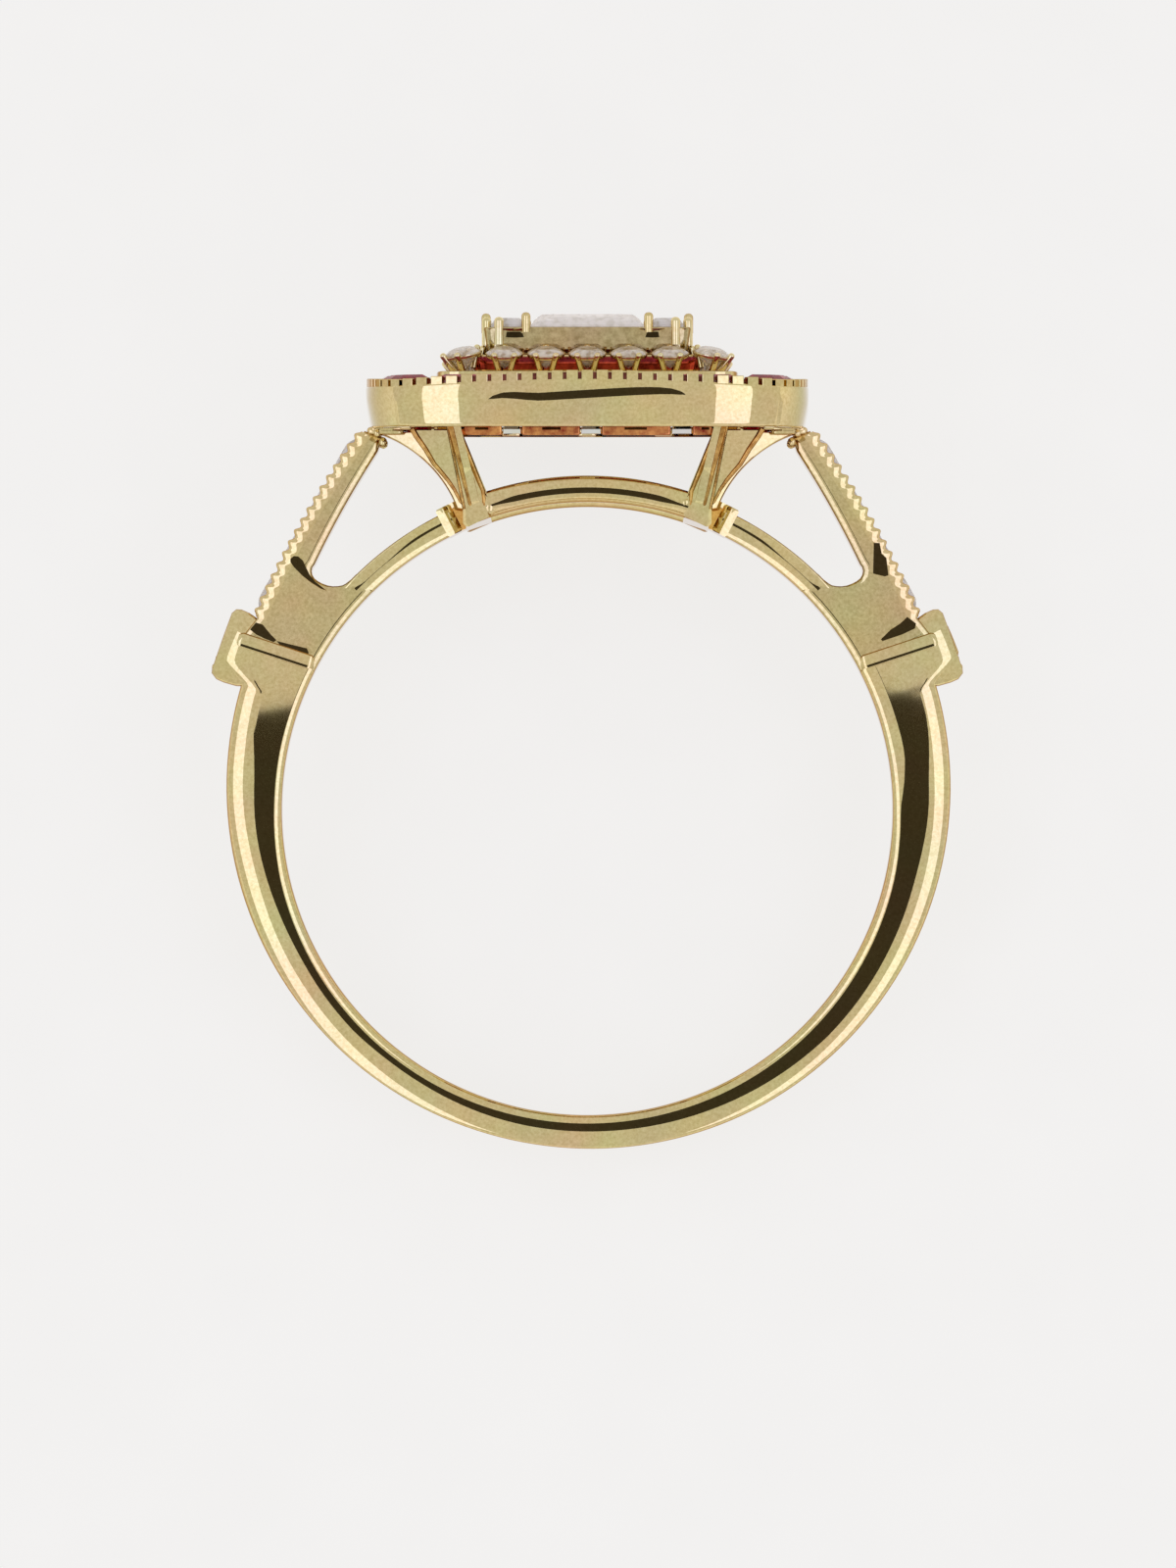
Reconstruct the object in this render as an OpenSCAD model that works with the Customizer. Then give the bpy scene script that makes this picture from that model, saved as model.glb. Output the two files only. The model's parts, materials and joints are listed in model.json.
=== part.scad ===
// Halo ring in yellow gold: a raised step-cut cluster, a halo of round diamonds, a channel of
// calibre rubies, an open four-legged gallery and split milgrained shoulders.
// The ring is drawn upright, with the finger along Y and the head up, and is then laid on its side.

/* [Finger hole] */
// Inside diameter of the ring
finger_d = 17.3; // [16.8:0.1:17.8]

/* [Band] */
// Thickness of the band at the bottom
band_t = 0.99; // [0.9:0.01:1.1]
// How far the outside circle sits above the inside one, which thickens the sides
band_lift = 0.64; // [0.55:0.01:0.7]
// Width of the band along the finger
band_w = 2.4; // [2.2:0.1:2.6]
// Radius of the band's outer edges
edge_r = 0.3; // [0.2:0.05:0.4]
// Bevel of the band's inner edges
inner_bevel = 0.12; // [0.05:0.01:0.2]

/* [Shoulders] */
// Distance of the collets' outer faces from the finger hole
collet_out = 2.67; // [2.6:0.01:2.75]
// Width of a collet along the finger
collet_w = 2.2; // [2:0.1:2.3]
// Thickness of the outer arms
arm_t = 1; // [0.9:0.05:1.1]
// Thickness of the inner arms, which go on with the band
inner_arm_t = 0.67; // [0.6:0.01:0.75]
// Spacing of the milgrain on the outer arms
milgrain_pitch = 0.36; // [0.32:0.01:0.4]
// Height of the milgrain on the outer arms
milgrain_h = 0.13; // [0.08:0.01:0.16]
// How far the outer arms bow outwards
arm_bow = 0.16; // [0.1:0.01:0.2]
// Diameter of the stones in the outer arms
arm_stone_d = 1.3; // [1.1:0.05:1.35]
// Diameter of the stones in the collets
collet_stone_d = 1.35; // [1.1:0.05:1.4]

/* [Gallery] */
// Half width of the square base
base_half = 3.5; // [3.45:0.01:3.6]
// Width of the base's rails
base_rail = 0.8; // [0.7:0.05:0.9]
// Height of the base's rails over the finger hole
base_t = 0.73; // [0.7:0.01:0.8]
// Half width of the gallery where it meets the frame
gallery_top_half = 3.95; // [3.9:0.01:4]
// Thickness of the webs that flare out from the corner legs
web_t = 0.45; // [0.4:0.05:0.5]

/* [Ruby frame] */
// Half width of the frame at its rim
frame_half = 6.3; // [6.2:0.05:6.4]
// Corner radius of the frame at its rim
frame_r = 2.55; // [2.5:0.05:2.6]
// Height of the frame's underside over the finger hole
frame_bottom = 2.13; // [2.1:0.01:2.16]
// Height of the frame's wall
frame_h = 1.38; // [1.35:0.01:1.42]
// How far the frame's wall leans, in degrees
wall_lean = 7.5; // [6:0.5:9]
// Height of the rim's rounded outer edge
rim_edge = 0.12; // [0.08:0.01:0.16]
// Height of the rounded lower edge of the frame's wall
frame_edge = 0.16; // [0.12:0.01:0.2]
// Thickness of the rim
rim_t = 0.36; // [0.33:0.01:0.4]
// Thickness of the channel's floor
floor_t = 0.36; // [0.3:0.01:0.4]
// Number of straight rubies along each side
rubies_per_side = 4; // [3:1:4]

/* [Diamond halo] */
// Half width of the halo's tray
tray_half = 4.28; // [4.25:0.01:4.3]
// Distance of the halo's stones from the middle
halo_half = 3.5; // [3.48:0.01:3.52]
// Diameter of the halo's stones
halo_stone_d = 1.03; // [1:0.01:1.04]
// Diameter of the small prongs
prong_d = 0.2; // [0.18:0.01:0.22]
// Lean of the halo's stones towards the outside, in degrees
halo_lean = 14; // [10:1:16]

/* [Centre cluster] */
// Side of the centre stone
centre_side = 3.2; // [3.1:0.05:3.25]
// Width of the baguettes and corner stones
step_w = 1.05; // [1:0.01:1.1]
// Half width of the cluster's cup at its rim
cup_half = 2.92; // [2.9:0.01:2.95]
// Half width of the cup at its foot
cup_foot_half = 2.4; // [2.35:0.01:2.45]
// Height of the stones' girdles over the finger hole
cluster_girdle = 4.97; // [4.95:0.01:5]
// Diameter of the corner prongs
corner_prong_d = 0.34; // [0.3:0.01:0.36]

/* [Hidden] */
SIDES = [1:4];

$fn = 64;
GOLD = [0.83, 0.7, 0.42];
DIAMOND = [0.88, 0.91, 0.95];
RUBY = [0.6, 0.05, 0.14];

// Gap between a stone and its seat, and the overlap of two forms that are one piece
gap = 0.03;
bite = 0.05;

// Heights over the middle of the finger hole
finger_r = finger_d / 2;
band_bottom = finger_r + band_t;
band_outer_r = band_bottom + band_lift;
frame_z = finger_r + frame_bottom;
rim_z = frame_z + frame_h;
floor_z = frame_z + floor_t;
plate_z = rim_z - 0.05;
tray_edge_z = rim_z + 0.58;
tray_top_z = rim_z + 0.86;
cup_foot_z = rim_z + 0.7;
cup_rim_z = finger_r + cluster_girdle - 0.06;
girdle_z = finger_r + cluster_girdle;
prong_top_z = girdle_z + 0.26;

// Prongs of the cluster: their distance from its middle, and the pair at each end of a baguette
prong_across = 2.86;
corner_prong_along = 2.45;
joint_prong_along = 1.79;
joint_prong_d = 0.3;
joint_prong_top_z = prong_top_z + 0.13;

// Half width of the frame's leaning wall at a height
function frame_wall(z) = frame_half - (rim_z - z) * tan(wall_lean);

// The lay of the ring: the low edge of the frame's wall and the band's edge meet the floor together
rest_z = frame_z + frame_edge;
rest_half = frame_wall(rest_z);
reach_out = rest_half - (band_w / 2 - edge_r);
reach_up = rest_z + band_bottom - edge_r;
lay_tilt = atan(reach_out / reach_up) - asin(edge_r / norm([reach_out, reach_up]));
floor_drop = rest_half * cos(lay_tilt) - rest_z * sin(lay_tilt);
head_end = joint_prong_top_z * cos(lay_tilt) + (prong_across + joint_prong_d / 2) * sin(lay_tilt);
band_end = (band_bottom - edge_r) * cos(lay_tilt) + (band_w / 2 - edge_r) * sin(lay_tilt) + edge_r;

// The outer arm runs from its foot at the collet to its top under the frame
arm_foot = [(finger_r + 2.19) * cos(30.2), (finger_r + 2.19) * sin(30.2)];
arm_top = [6.38, frame_z - 0.08];
arm_l = norm(arm_top - arm_foot);
arm_dir = (arm_top - arm_foot) / arm_l;
arm_out = [arm_dir[1], -arm_dir[0]];
arm_angle = atan2(arm_dir[1], arm_dir[0]);
arm_bow_r = (pow(arm_l / 2, 2) + pow(arm_bow, 2)) / (2 * arm_bow);
arm_bow_centre = (arm_foot + arm_top) / 2 - arm_out * (arm_bow_r - arm_bow);
arm_channel_w = 1.5;
arm_stone_pitch = 1.45;
arm_stones = 4;

// The rib is a strip of a circle, with the opening of the split shoulder inside it
rib_centre = [7.08, frame_z - 3.58];
rib_r = 3.64;
rib_t = 0.32;
opening_low = finger_r - 2.32;
opening_corner_x = 7.28;
opening_corner_lean = 40;

// The outer edge of a web of the gallery, as [distance from the middle, height over the finger hole]
WEB_EDGE = [[3.62, 0.05], [3.78, 0.4], [3.96, 0.66], [4.31, 1.11], [4.62, 1.55], [4.98, 2.07]];
web_at = 3.36;
web_lean = 9;
web_mid_z = finger_r + 0.65;

// The collet's outer face: where its middle is round the ring, and which way it looks, in degrees
collet_place = 24.9;
collet_facing = 22;
collet_at = [(finger_r + collet_out) * cos(collet_place), (finger_r + collet_out) * sin(collet_place)];
collet_stone_sink = 0.15;

// The raised collar under a collet: its low end, its lean, its length, its height and how far it is proud
collar_at = [7.85, finger_r - 4.5];
collar_lean = 19.8;
collar_l = 2.2;
collar_h = 0.38;
collar_proud = 0.1;

// The block in which the inner arm ends: its middle, its lean and its thickness and height
end_block_at = [3.9, finger_r - 0.5];
end_block_lean = 29;
end_block_t = 0.5;
end_block_h = 0.86;

// Windows under the rubies, and the side of the square cuts between the halo's stones
window_l = 1.7;
window_w = 0.9;
halo_cut = 0.54;

// Places of the halo's stones: a square ring of seven along each side
halo_pitch = halo_half / 3;
halo_places = [for (side = [0:3]) for (i = [-2:3]) [side, i * halo_pitch]];
halo_girdle_z = rim_z + 0.67;

// Edges of the ruby channel and of one ruby's cell
channel_in = tray_half + 0.05;
channel_out = frame_half - rim_t - 0.02;
channel_r = frame_r - rim_t;
ruby_in = channel_in + gap;
ruby_out = channel_out - gap;
ruby_corner = frame_half - frame_r;
ruby_corner_r = ruby_out - ruby_corner - 0.02;
ruby_run = ruby_in;
ruby_gap = 0.07;
ruby_girdle_z = rim_z - 0.2;
ruby_cell = 2 * ruby_run / rubies_per_side;

// Half width of the hole under the centre stone
light_hole_half = centre_side / 2 - 0.35;

// Distance of the baguettes and corner stones from the middle of the cluster
step_at = centre_side / 2 + 0.1 + step_w / 2;

// Corners of a square with round corners
function rounded_square(half, r, steps = 8) = [
    for (q = [0:3]) for (i = [0:steps])
    let (a = 90 * q + 90 * i / steps, sx = (q == 0 || q == 3) ? 1 : -1, sy = q < 2 ? 1 : -1)
    [sx * (half - r) + r * cos(a), sy * (half - r) + r * sin(a)]
];

// The outer edge of the ruby channel at a distance x along a side
function ruby_edge(x) = abs(x) <= ruby_corner
    ? ruby_out
    : ruby_corner + sqrt(pow(ruby_corner_r, 2) - pow(abs(x) - ruby_corner, 2));

// Outline of a straight ruby between two places along its side
function ruby_outline(x0, x1) = concat(
    [[x0, ruby_in], [x1, ruby_in]],
    x1 > ruby_corner ? [[x1, ruby_edge(x1)], [ruby_corner, ruby_out]] : [[x1, ruby_out]],
    x0 < -ruby_corner ? [[-ruby_corner, ruby_out], [x0, ruby_edge(x0)]] : [[x0, ruby_out]]
);

// Outline of a corner ruby: two straight sides and a round one
function corner_outline(steps = 4) = let (
    start = ruby_run + ruby_gap / 2,
    a0 = acos((start - ruby_corner) / ruby_corner_r),
    a1 = 90 - a0
) concat(
    [[start, start]],
    [for (i = [0:steps]) let (a = a1 + (a0 - a1) * i / steps)
        [ruby_corner + ruby_corner_r * cos(a), ruby_corner + ruby_corner_r * sin(a)]]
);

function middle(points, i = 0) = i == len(points)
    ? [0, 0]
    : points[i] / len(points) + middle(points, i + 1);

// Rings of points, each [share of the outline, height], closed into a step-cut stone
module step_cut(outline, levels) {
    n = len(outline);
    m = len(levels);
    c = middle(outline);
    points = [for (level = levels) for (p = outline)
        [c[0] + (p[0] - c[0]) * level[0], c[1] + (p[1] - c[1]) * level[0], level[1]]];
    walls = [for (k = [0:m - 2]) for (i = [0:n - 1])
        [k * n + i, (k + 1) * n + i, (k + 1) * n + (i + 1) % n, k * n + (i + 1) % n]];
    foot = [[for (i = [0:n - 1]) i]];
    table = [[for (i = [0:n - 1]) (m - 1) * n + n - 1 - i]];
    polyhedron(points, concat(foot, walls, table), convexity = 4);
}

// A round brilliant with its girdle at height 0: table, stars, kites, girdle and pavilion
module brilliant(d) {
    r = d / 2;
    table_r = 0.56 * r;
    table_z = 0.3 * r;
    girdle = 0.04 * r;
    culet_z = -0.86 * r;
    star_r = 0.8 * r;
    star_z = table_z + (star_r * cos(22.5) - table_r) / (r - table_r) * (girdle - table_z);
    low_r = 0.5 * r;
    low_z = culet_z + low_r * cos(22.5) / r * (-girdle - culet_z);
    points = concat(
        [for (i = [0:7]) [table_r * cos(45 * i), table_r * sin(45 * i), table_z]],
        [for (i = [0:7]) [star_r * cos(45 * i + 22.5), star_r * sin(45 * i + 22.5), star_z]],
        [for (i = [0:15]) [r * cos(22.5 * i), r * sin(22.5 * i), girdle]],
        [for (i = [0:15]) [r * cos(22.5 * i), r * sin(22.5 * i), -girdle]],
        [for (i = [0:7]) [low_r * cos(45 * i + 22.5), low_r * sin(45 * i + 22.5), low_z]],
        [[0, 0, culet_z]]
    );
    faces = concat(
        [[7, 6, 5, 4, 3, 2, 1, 0]],
        [for (i = [0:7]) [i, (i + 1) % 8, 8 + i]],
        [for (i = [0:7]) [i, 8 + i, 16 + 2 * i]],
        [for (i = [0:7]) [i, 16 + 2 * i, 8 + (i + 7) % 8]],
        [for (i = [0:7]) [8 + i, 17 + 2 * i, 16 + 2 * i]],
        [for (i = [0:7]) [8 + i, 16 + (2 * i + 2) % 16, 17 + 2 * i]],
        [for (i = [0:15]) [16 + i, 16 + (i + 1) % 16, 32 + (i + 1) % 16, 32 + i]],
        [for (i = [0:7]) [48 + i, 32 + 2 * i, 33 + 2 * i]],
        [for (i = [0:7]) [48 + i, 33 + 2 * i, 32 + (2 * i + 2) % 16]],
        [for (i = [0:7]) [56, 32 + 2 * i, 48 + i]],
        [for (i = [0:7]) [56, 48 + (i + 7) % 8, 32 + 2 * i]]
    );
    polyhedron(points, faces, convexity = 4);
}

// The hole that is cut for a brilliant: a seat, a cone and a small window for light
module brilliant_seat(d, depth) {
    r = d / 2 + gap;
    rotate_extrude()
        polygon([[0, -depth], [0.45 * r, -depth], [0.45 * r, -0.55 * r], [r, -0.07 * r], [r, r], [0, r]]);
}

// Lays the upright ring on its side, with its resting points at height 0
module laid() {
    translate([0, (band_end - head_end) / 2, floor_drop])
        rotate([lay_tilt - 90, 0, 0])
        children();
}

// A slab across the finger, drawn as seen from the side of the ring
module slab(w) {
    rotate([90, 0, 0]) linear_extrude(w, center = true) children();
}

module round_bar(r, w) {
    rotate([90, 0, 0]) cylinder(h = w, r = r, center = true);
}

module prism(half, r, z0, z1) {
    translate([0, 0, z0]) linear_extrude(z1 - z0) polygon(rounded_square(half, r));
}

// A flared block between two rounded squares
module flare(half0, r0, z0, half1, r1, z1, skin = 0.01) {
    hull() {
        prism(half0, r0, z0, z0 + skin);
        prism(half1, r1, z1 - skin, z1);
    }
}

module both_sides() {
    children();
    mirror([1, 0, 0]) children();
}

// To the frame of the right outer arm: X along the arm, Z out of it
module on_arm() {
    translate([arm_foot[0], 0, arm_foot[1]]) rotate([0, -arm_angle, 0]) mirror([0, 0, 1]) children();
}

// To the frame of the right collet's outer face: Z out of it
module on_collet() {
    translate([collet_at[0], 0, collet_at[1]]) rotate([0, 90 - collet_facing, 0]) children();
}

// To the place of one of the halo's stones, leaning outwards
module on_halo(place) {
    corner = abs(place[1]) > halo_half - 0.01;
    rotate([0, 0, 90 * place[0]])
        translate([place[1], halo_half, halo_girdle_z])
        rotate([0, 0, corner ? -45 : 0])
        rotate([-halo_lean, 0, 0])
        children();
}

// The plain band, which ends inside the shoulders
module band() {
    intersection() {
        translate([0, 0, band_lift]) rotate([90, 0, 0]) rotate_extrude() difference() {
            translate([finger_r - 3, -band_w / 2]) square([band_outer_r - finger_r + 3, band_w]);
            for (s = [-1, 1]) edge_trim(s);
        }
        translate([-20, -5, -20]) cube([40, 10, opening_low + 18]);
    }
}

// What is taken from one outer corner of the band's section to leave it round
module edge_trim(s) {
    difference() {
        translate([band_outer_r - edge_r, s > 0 ? band_w / 2 - edge_r : -band_w / 2 - 1])
            square([1 + edge_r, 1 + edge_r]);
        translate([band_outer_r - edge_r, s * (band_w / 2 - edge_r)]) circle(edge_r);
    }
}

// Outer edge of the right arm, with its milgrain, from the foot to the top
function arm_edge() = let (teeth = round(arm_l / milgrain_pitch), step = arm_l / teeth) [
    for (i = [0:teeth - 1]) for (k = [0:3])
    let (along = (i + k / 4) * step)
    arm_foot + arm_dir * along + arm_out * (arm_rise(along) + milgrain_h * sin(45 * k))
];

// How far the bowed arm stands out at a distance along it
function arm_rise(along) = arm_bow - arm_bow_r + sqrt(pow(arm_bow_r, 2) - pow(along - arm_l / 2, 2));

module shoulder() {
    difference() {
        slab(band_w) polygon(concat(
            [[finger_r - 1, 3], [band_outer_r * 0.955, 3.4]],
            arm_edge(),
            [arm_top, arm_top + [-0.12, 0.22], [5.5, frame_z + bite], rib_centre + (rib_r + rib_t) * [-0.33, 0.944],
             rib_centre + (rib_r + rib_t) * [-0.55, 0.835], rib_centre + (rib_r + rib_t) * [-0.75, 0.661],
             rib_centre + (rib_r + rib_t) * [-0.9, 0.436], [base_half - 0.1, finger_r - 0.2],
             [base_half - 0.1, finger_r - 1.2]]
        ));
        // The opening of the split shoulder
        difference() {
            intersection() {
                translate([rib_centre[0], 0, rib_centre[1]]) round_bar(rib_r, band_w + 2);
                translate([arm_bow_centre[0], 0, arm_bow_centre[1]]) round_bar(arm_bow_r - arm_t, band_w + 2);
                translate([0, -5, opening_low]) cube([12, 10, 12]);
                // The opening's low outer corner is cut across
                translate([opening_corner_x, 0, opening_low]) rotate([0, -opening_corner_lean, 0])
                    translate([-9, -5, 0]) cube([18, 10, 12]);
            }
            round_bar(finger_r + inner_arm_t, band_w + 4);
        }
        // The channel for the stones of the outer arm
        on_arm() translate([0.15, -arm_channel_w / 2, -0.02]) cube([arm_l - 0.3, arm_channel_w, 1]);
    }
}

module collet() {
    slab(collet_w) polygon([
        [9.99, finger_r - 3.05], [collet_out + 7.96, finger_r - 4.73], [collet_out + 7.72, finger_r - 5.01],
        [collet_out + 7.28, finger_r - 5.18], [9.2, finger_r - 5.18], [8.8, finger_r - 4], [9.3, finger_r - 3.27]
    ]);
    // The raised collar down both sides of the band
    translate([collar_at[0], 0, collar_at[1]]) rotate([0, -collar_lean, 0])
        translate([0, -band_w / 2 - collar_proud, -collar_h / 2])
        cube([collar_l, band_w + 2 * collar_proud, collar_h]);
}

// The bevelled block in which the inner arm ends, beside the gallery's base
module arm_end_block() {
    translate([end_block_at[0], 0, end_block_at[1]]) rotate([0, end_block_lean, 0])
        cube([end_block_t, band_w + 0.16, end_block_h], center = true);
}

module gallery() {
    // The base follows the finger hole
    intersection() {
        difference() {
            prism(base_half, 0.3, finger_r - 2, finger_r + base_t + 0.1);
            prism(base_half - base_rail, 0.3, finger_r - 3, finger_r + base_t + 1);
        }
        round_bar(finger_r + base_t, 20);
    }
    // The corner legs and their webs, open on all four sides
    difference() {
        union() {
            flare(base_half, 0.3, finger_r - 0.6, gallery_top_half, 0.3, frame_z + bite);
            for (side = [0:3]) rotate([0, 0, 90 * side]) for (s = [-1, 1]) web(s);
        }
        flare(base_half - base_rail, 0.2, finger_r - 1.2, gallery_top_half - 0.6, 0.2, frame_z + 0.2);
        for (a = [0, 90]) rotate([0, 0, a]) slab(20)
            polygon([[-2.86, finger_r + 0.32], [2.86, finger_r + 0.32], [3.66, frame_z + 0.1],
                [3.66, frame_z + 0.3], [-3.66, frame_z + 0.3], [-3.66, frame_z + 0.1]]);
    }
}

// A web that flares out from a leg like a trumpet: two of them stand on each leg
module web(s) {
    translate([0, s * web_at, web_mid_z]) rotate([-s * web_lean, 0, 0]) translate([0, 0, -web_mid_z])
        slab(web_t) polygon(concat(
            [[3.3, frame_z + bite], [3.2, finger_r - 0.2], [3.52, finger_r - 0.2]],
            [for (p = WEB_EDGE) [p[0], finger_r + p[1]]],
            [[5.02, frame_z + bite]]
        ));
}

module frame() {
    wall_top = rim_z - rim_edge;
    difference() {
        hull() {
            prism(frame_wall(frame_z) - 0.18, frame_r - 0.36, frame_z, frame_z + 0.01);
            prism(rest_half, frame_r - 0.16, rest_z, rest_z + 0.01);
            prism(frame_wall(wall_top), frame_r - 0.02, wall_top - 0.01, wall_top);
            prism(frame_half - 0.1, frame_r - 0.1, rim_z - 0.01, rim_z);
        }
        difference() {
            prism(channel_out, channel_r, floor_z, rim_z + 1);
            prism(tray_half, 0.6, floor_z - 1, rim_z + 2);
        }
        prism(tray_half - 0.3, 0.5, frame_z - 1, plate_z);
        // Windows under the rubies
        for (side = [0:3]) rotate([0, 0, 90 * side]) for (i = [0:rubies_per_side - 1])
            translate([-ruby_run + ruby_cell * (i + 0.5) - window_l / 2, channel_in + 0.25, frame_z - 1])
            cube([window_l, window_w, 3]);
    }
}

module tray() {
    difference() {
        union() {
            prism(tray_half, 0.6, floor_z - bite, tray_edge_z);
            flare(tray_half, 0.6, tray_edge_z - 0.02, cup_foot_half + 0.3, 0.3, tray_top_z);
        }
        prism(tray_half - 0.3, 0.5, frame_z - 1, plate_z);
        // The cuts between the stones, down to the rubies
        for (side = [0:3]) rotate([0, 0, 90 * side]) for (i = [-3:2])
            translate([(i + 0.5) * halo_pitch, tray_half + 0.08, rim_z + 0.1])
            rotate([0, 0, 45]) translate([-halo_cut / 2, -halo_cut / 2, 0]) cube([halo_cut, halo_cut, 2]);
    }
}

module halo_prongs() {
    for (place = halo_places) on_halo(place) for (a = [-33, 33, 180])
        rotate([0, 0, a]) translate([0, halo_stone_d / 2 + 0.05, -0.45])
        cylinder(h = 0.6, d = prong_d, $fn = 16);
}

module cluster_cup() {
    prism(cup_foot_half, 0.5, plate_z - bite, cup_foot_z + 0.02);
    flare(cup_foot_half, 0.5, cup_foot_z, cup_half, 0.5, cup_rim_z);
}

module cluster_prongs() {
    for (side = [0:3]) rotate([0, 0, 90 * side]) for (s = [-1, 1]) {
        translate([s * corner_prong_along, prong_across, cup_foot_z + 0.25])
            cylinder(h = prong_top_z - cup_foot_z - 0.25, d = corner_prong_d, $fn = 20);
        translate([s * joint_prong_along, prong_across, cup_foot_z + 0.25])
            cylinder(h = joint_prong_top_z - cup_foot_z - 0.25, d = joint_prong_d, $fn = 20);
    }
}

module gold_mount() {
    color(GOLD) difference() {
        union() {
            band();
            both_sides() {
                shoulder();
                collet();
                arm_end_block();
            }
            gallery();
            frame();
            tray();
            halo_prongs();
            cluster_cup();
            cluster_prongs();
        }
        round_bar(finger_r, 20);
        for (s = [-1, 1]) translate([0, s * band_w / 2, 0]) rotate([s * 90, 0, 0])
            translate([0, 0, -inner_bevel / 2])
            cylinder(h = inner_bevel, r1 = finger_r + inner_bevel, r2 = finger_r, center = true);
        // The seats of the stones
        both_sides() {
            on_collet() translate([0, 0, -collet_stone_sink]) brilliant_seat(collet_stone_d, 1.1);
            for (i = [1:arm_stones]) on_arm_stone(i) brilliant_seat(arm_stone_d, 0.7);
        }
        for (place = halo_places) on_halo(place) brilliant_seat(halo_stone_d, 1.6);
        // The centre stone's seat, with a hole under it that lets the light in
        prism(light_hole_half, 0.2, plate_z - 1, girdle_z + 1);
        centre_solid(gap);
        for (i = SIDES) {
            baguette_solid(i, gap);
            corner_solid(i, gap);
        }
    }
}

// To the place of one of the stones of the right outer arm
module on_arm_stone(i) {
    on_arm() translate([arm_l / 2 + (i - (arm_stones + 1) / 2) * arm_stone_pitch, 0, arm_bow - 0.14])
        children();
}

function square_outline(x, y) = [[-x, -y], [x, -y], [x, y], [-x, y]];

function cut_corners(h, c) = [
    [-h + c, -h], [h - c, -h], [h, -h + c], [h, h - c], [h - c, h], [-h + c, h], [-h, h - c], [-h, -h + c]
];

module centre_solid(grow = 0) {
    translate([0, 0, girdle_z]) step_cut(
        cut_corners(centre_side / 2 + grow, 0.45),
        [[0.06, -1.25 - grow], [0.45, -0.95 - grow], [0.78, -0.55 - grow], [1, -0.04 - grow], [1, 0.04 + grow],
         [0.95, 0.2 + grow], [0.88, 0.31 + grow], [0.8, 0.39 + grow]]
    );
}

module baguette_solid(i, grow = 0) {
    rotate([0, 0, 90 * i]) translate([0, step_at, girdle_z]) step_cut(
        square_outline(centre_side / 2 + grow, step_w / 2 + grow),
        [[0.1, -0.62 - grow], [0.6, -0.36 - grow], [1, -0.04 - grow], [1, 0.04 + grow],
         [0.84, 0.16 + grow], [0.66, 0.24 + grow]]
    );
}

module corner_solid(i, grow = 0) {
    rotate([0, 0, 90 * i]) translate([step_at, step_at, girdle_z]) step_cut(
        cut_corners(step_w / 2 - 0.03 + grow, 0.12),
        [[0.1, -0.6 - grow], [0.6, -0.36 - grow], [1, -0.04 - grow], [1, 0.04 + grow],
         [0.84, 0.16 + grow], [0.62, 0.24 + grow]]
    );
}

RUBY_LEVELS = [[0.08, -0.72], [0.5, -0.52], [0.92, -0.12], [1, -0.04], [1, 0.03], [0.86, 0.14], [0.64, 0.22]];

module ruby(n) {
    side = floor((n - 1) / rubies_per_side);
    x0 = -ruby_run + ruby_cell * ((n - 1) % rubies_per_side) + ruby_gap / 2;
    color(RUBY) laid() rotate([0, 0, 90 * side]) translate([0, 0, ruby_girdle_z])
        step_cut(ruby_outline(x0, x0 + ruby_cell - ruby_gap), RUBY_LEVELS);
}

module corner_ruby(n) {
    color(RUBY) laid() rotate([0, 0, 90 * n]) translate([0, 0, ruby_girdle_z])
        step_cut(corner_outline(), RUBY_LEVELS);
}

module centre_stone() {
    color(DIAMOND) laid() centre_solid();
}

module side_baguette(i) {
    color(DIAMOND) laid() baguette_solid(i);
}

module corner_stone(i) {
    color(DIAMOND) laid() corner_solid(i);
}

module halo_diamonds() {
    color(DIAMOND) laid() for (place = halo_places) on_halo(place) brilliant(halo_stone_d);
}

module arm_diamonds() {
    color(DIAMOND) for (i = [1:arm_stones]) on_arm_stone(i) brilliant(arm_stone_d);
}

module collet_stone() {
    color(DIAMOND) on_collet() translate([0, 0, -collet_stone_sink]) brilliant(collet_stone_d);
}

laid() gold_mount();
centre_stone();
for (i = SIDES) side_baguette(i);
for (i = SIDES) corner_stone(i);
halo_diamonds();
for (i = [1:4 * rubies_per_side]) ruby(i);
for (i = SIDES) corner_ruby(i);
laid() mirror([1, 0, 0]) arm_diamonds();  // arm_diamonds_left
laid() arm_diamonds();  // arm_diamonds_right
laid() mirror([1, 0, 0]) collet_stone();  // collet_stone_left
laid() collet_stone();  // collet_stone_right
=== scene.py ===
import json
from math import asin, atan2, cos, degrees, hypot, log2, pi, radians, sin, sqrt, tan

import bpy
from mathutils import Matrix, Vector


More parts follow.
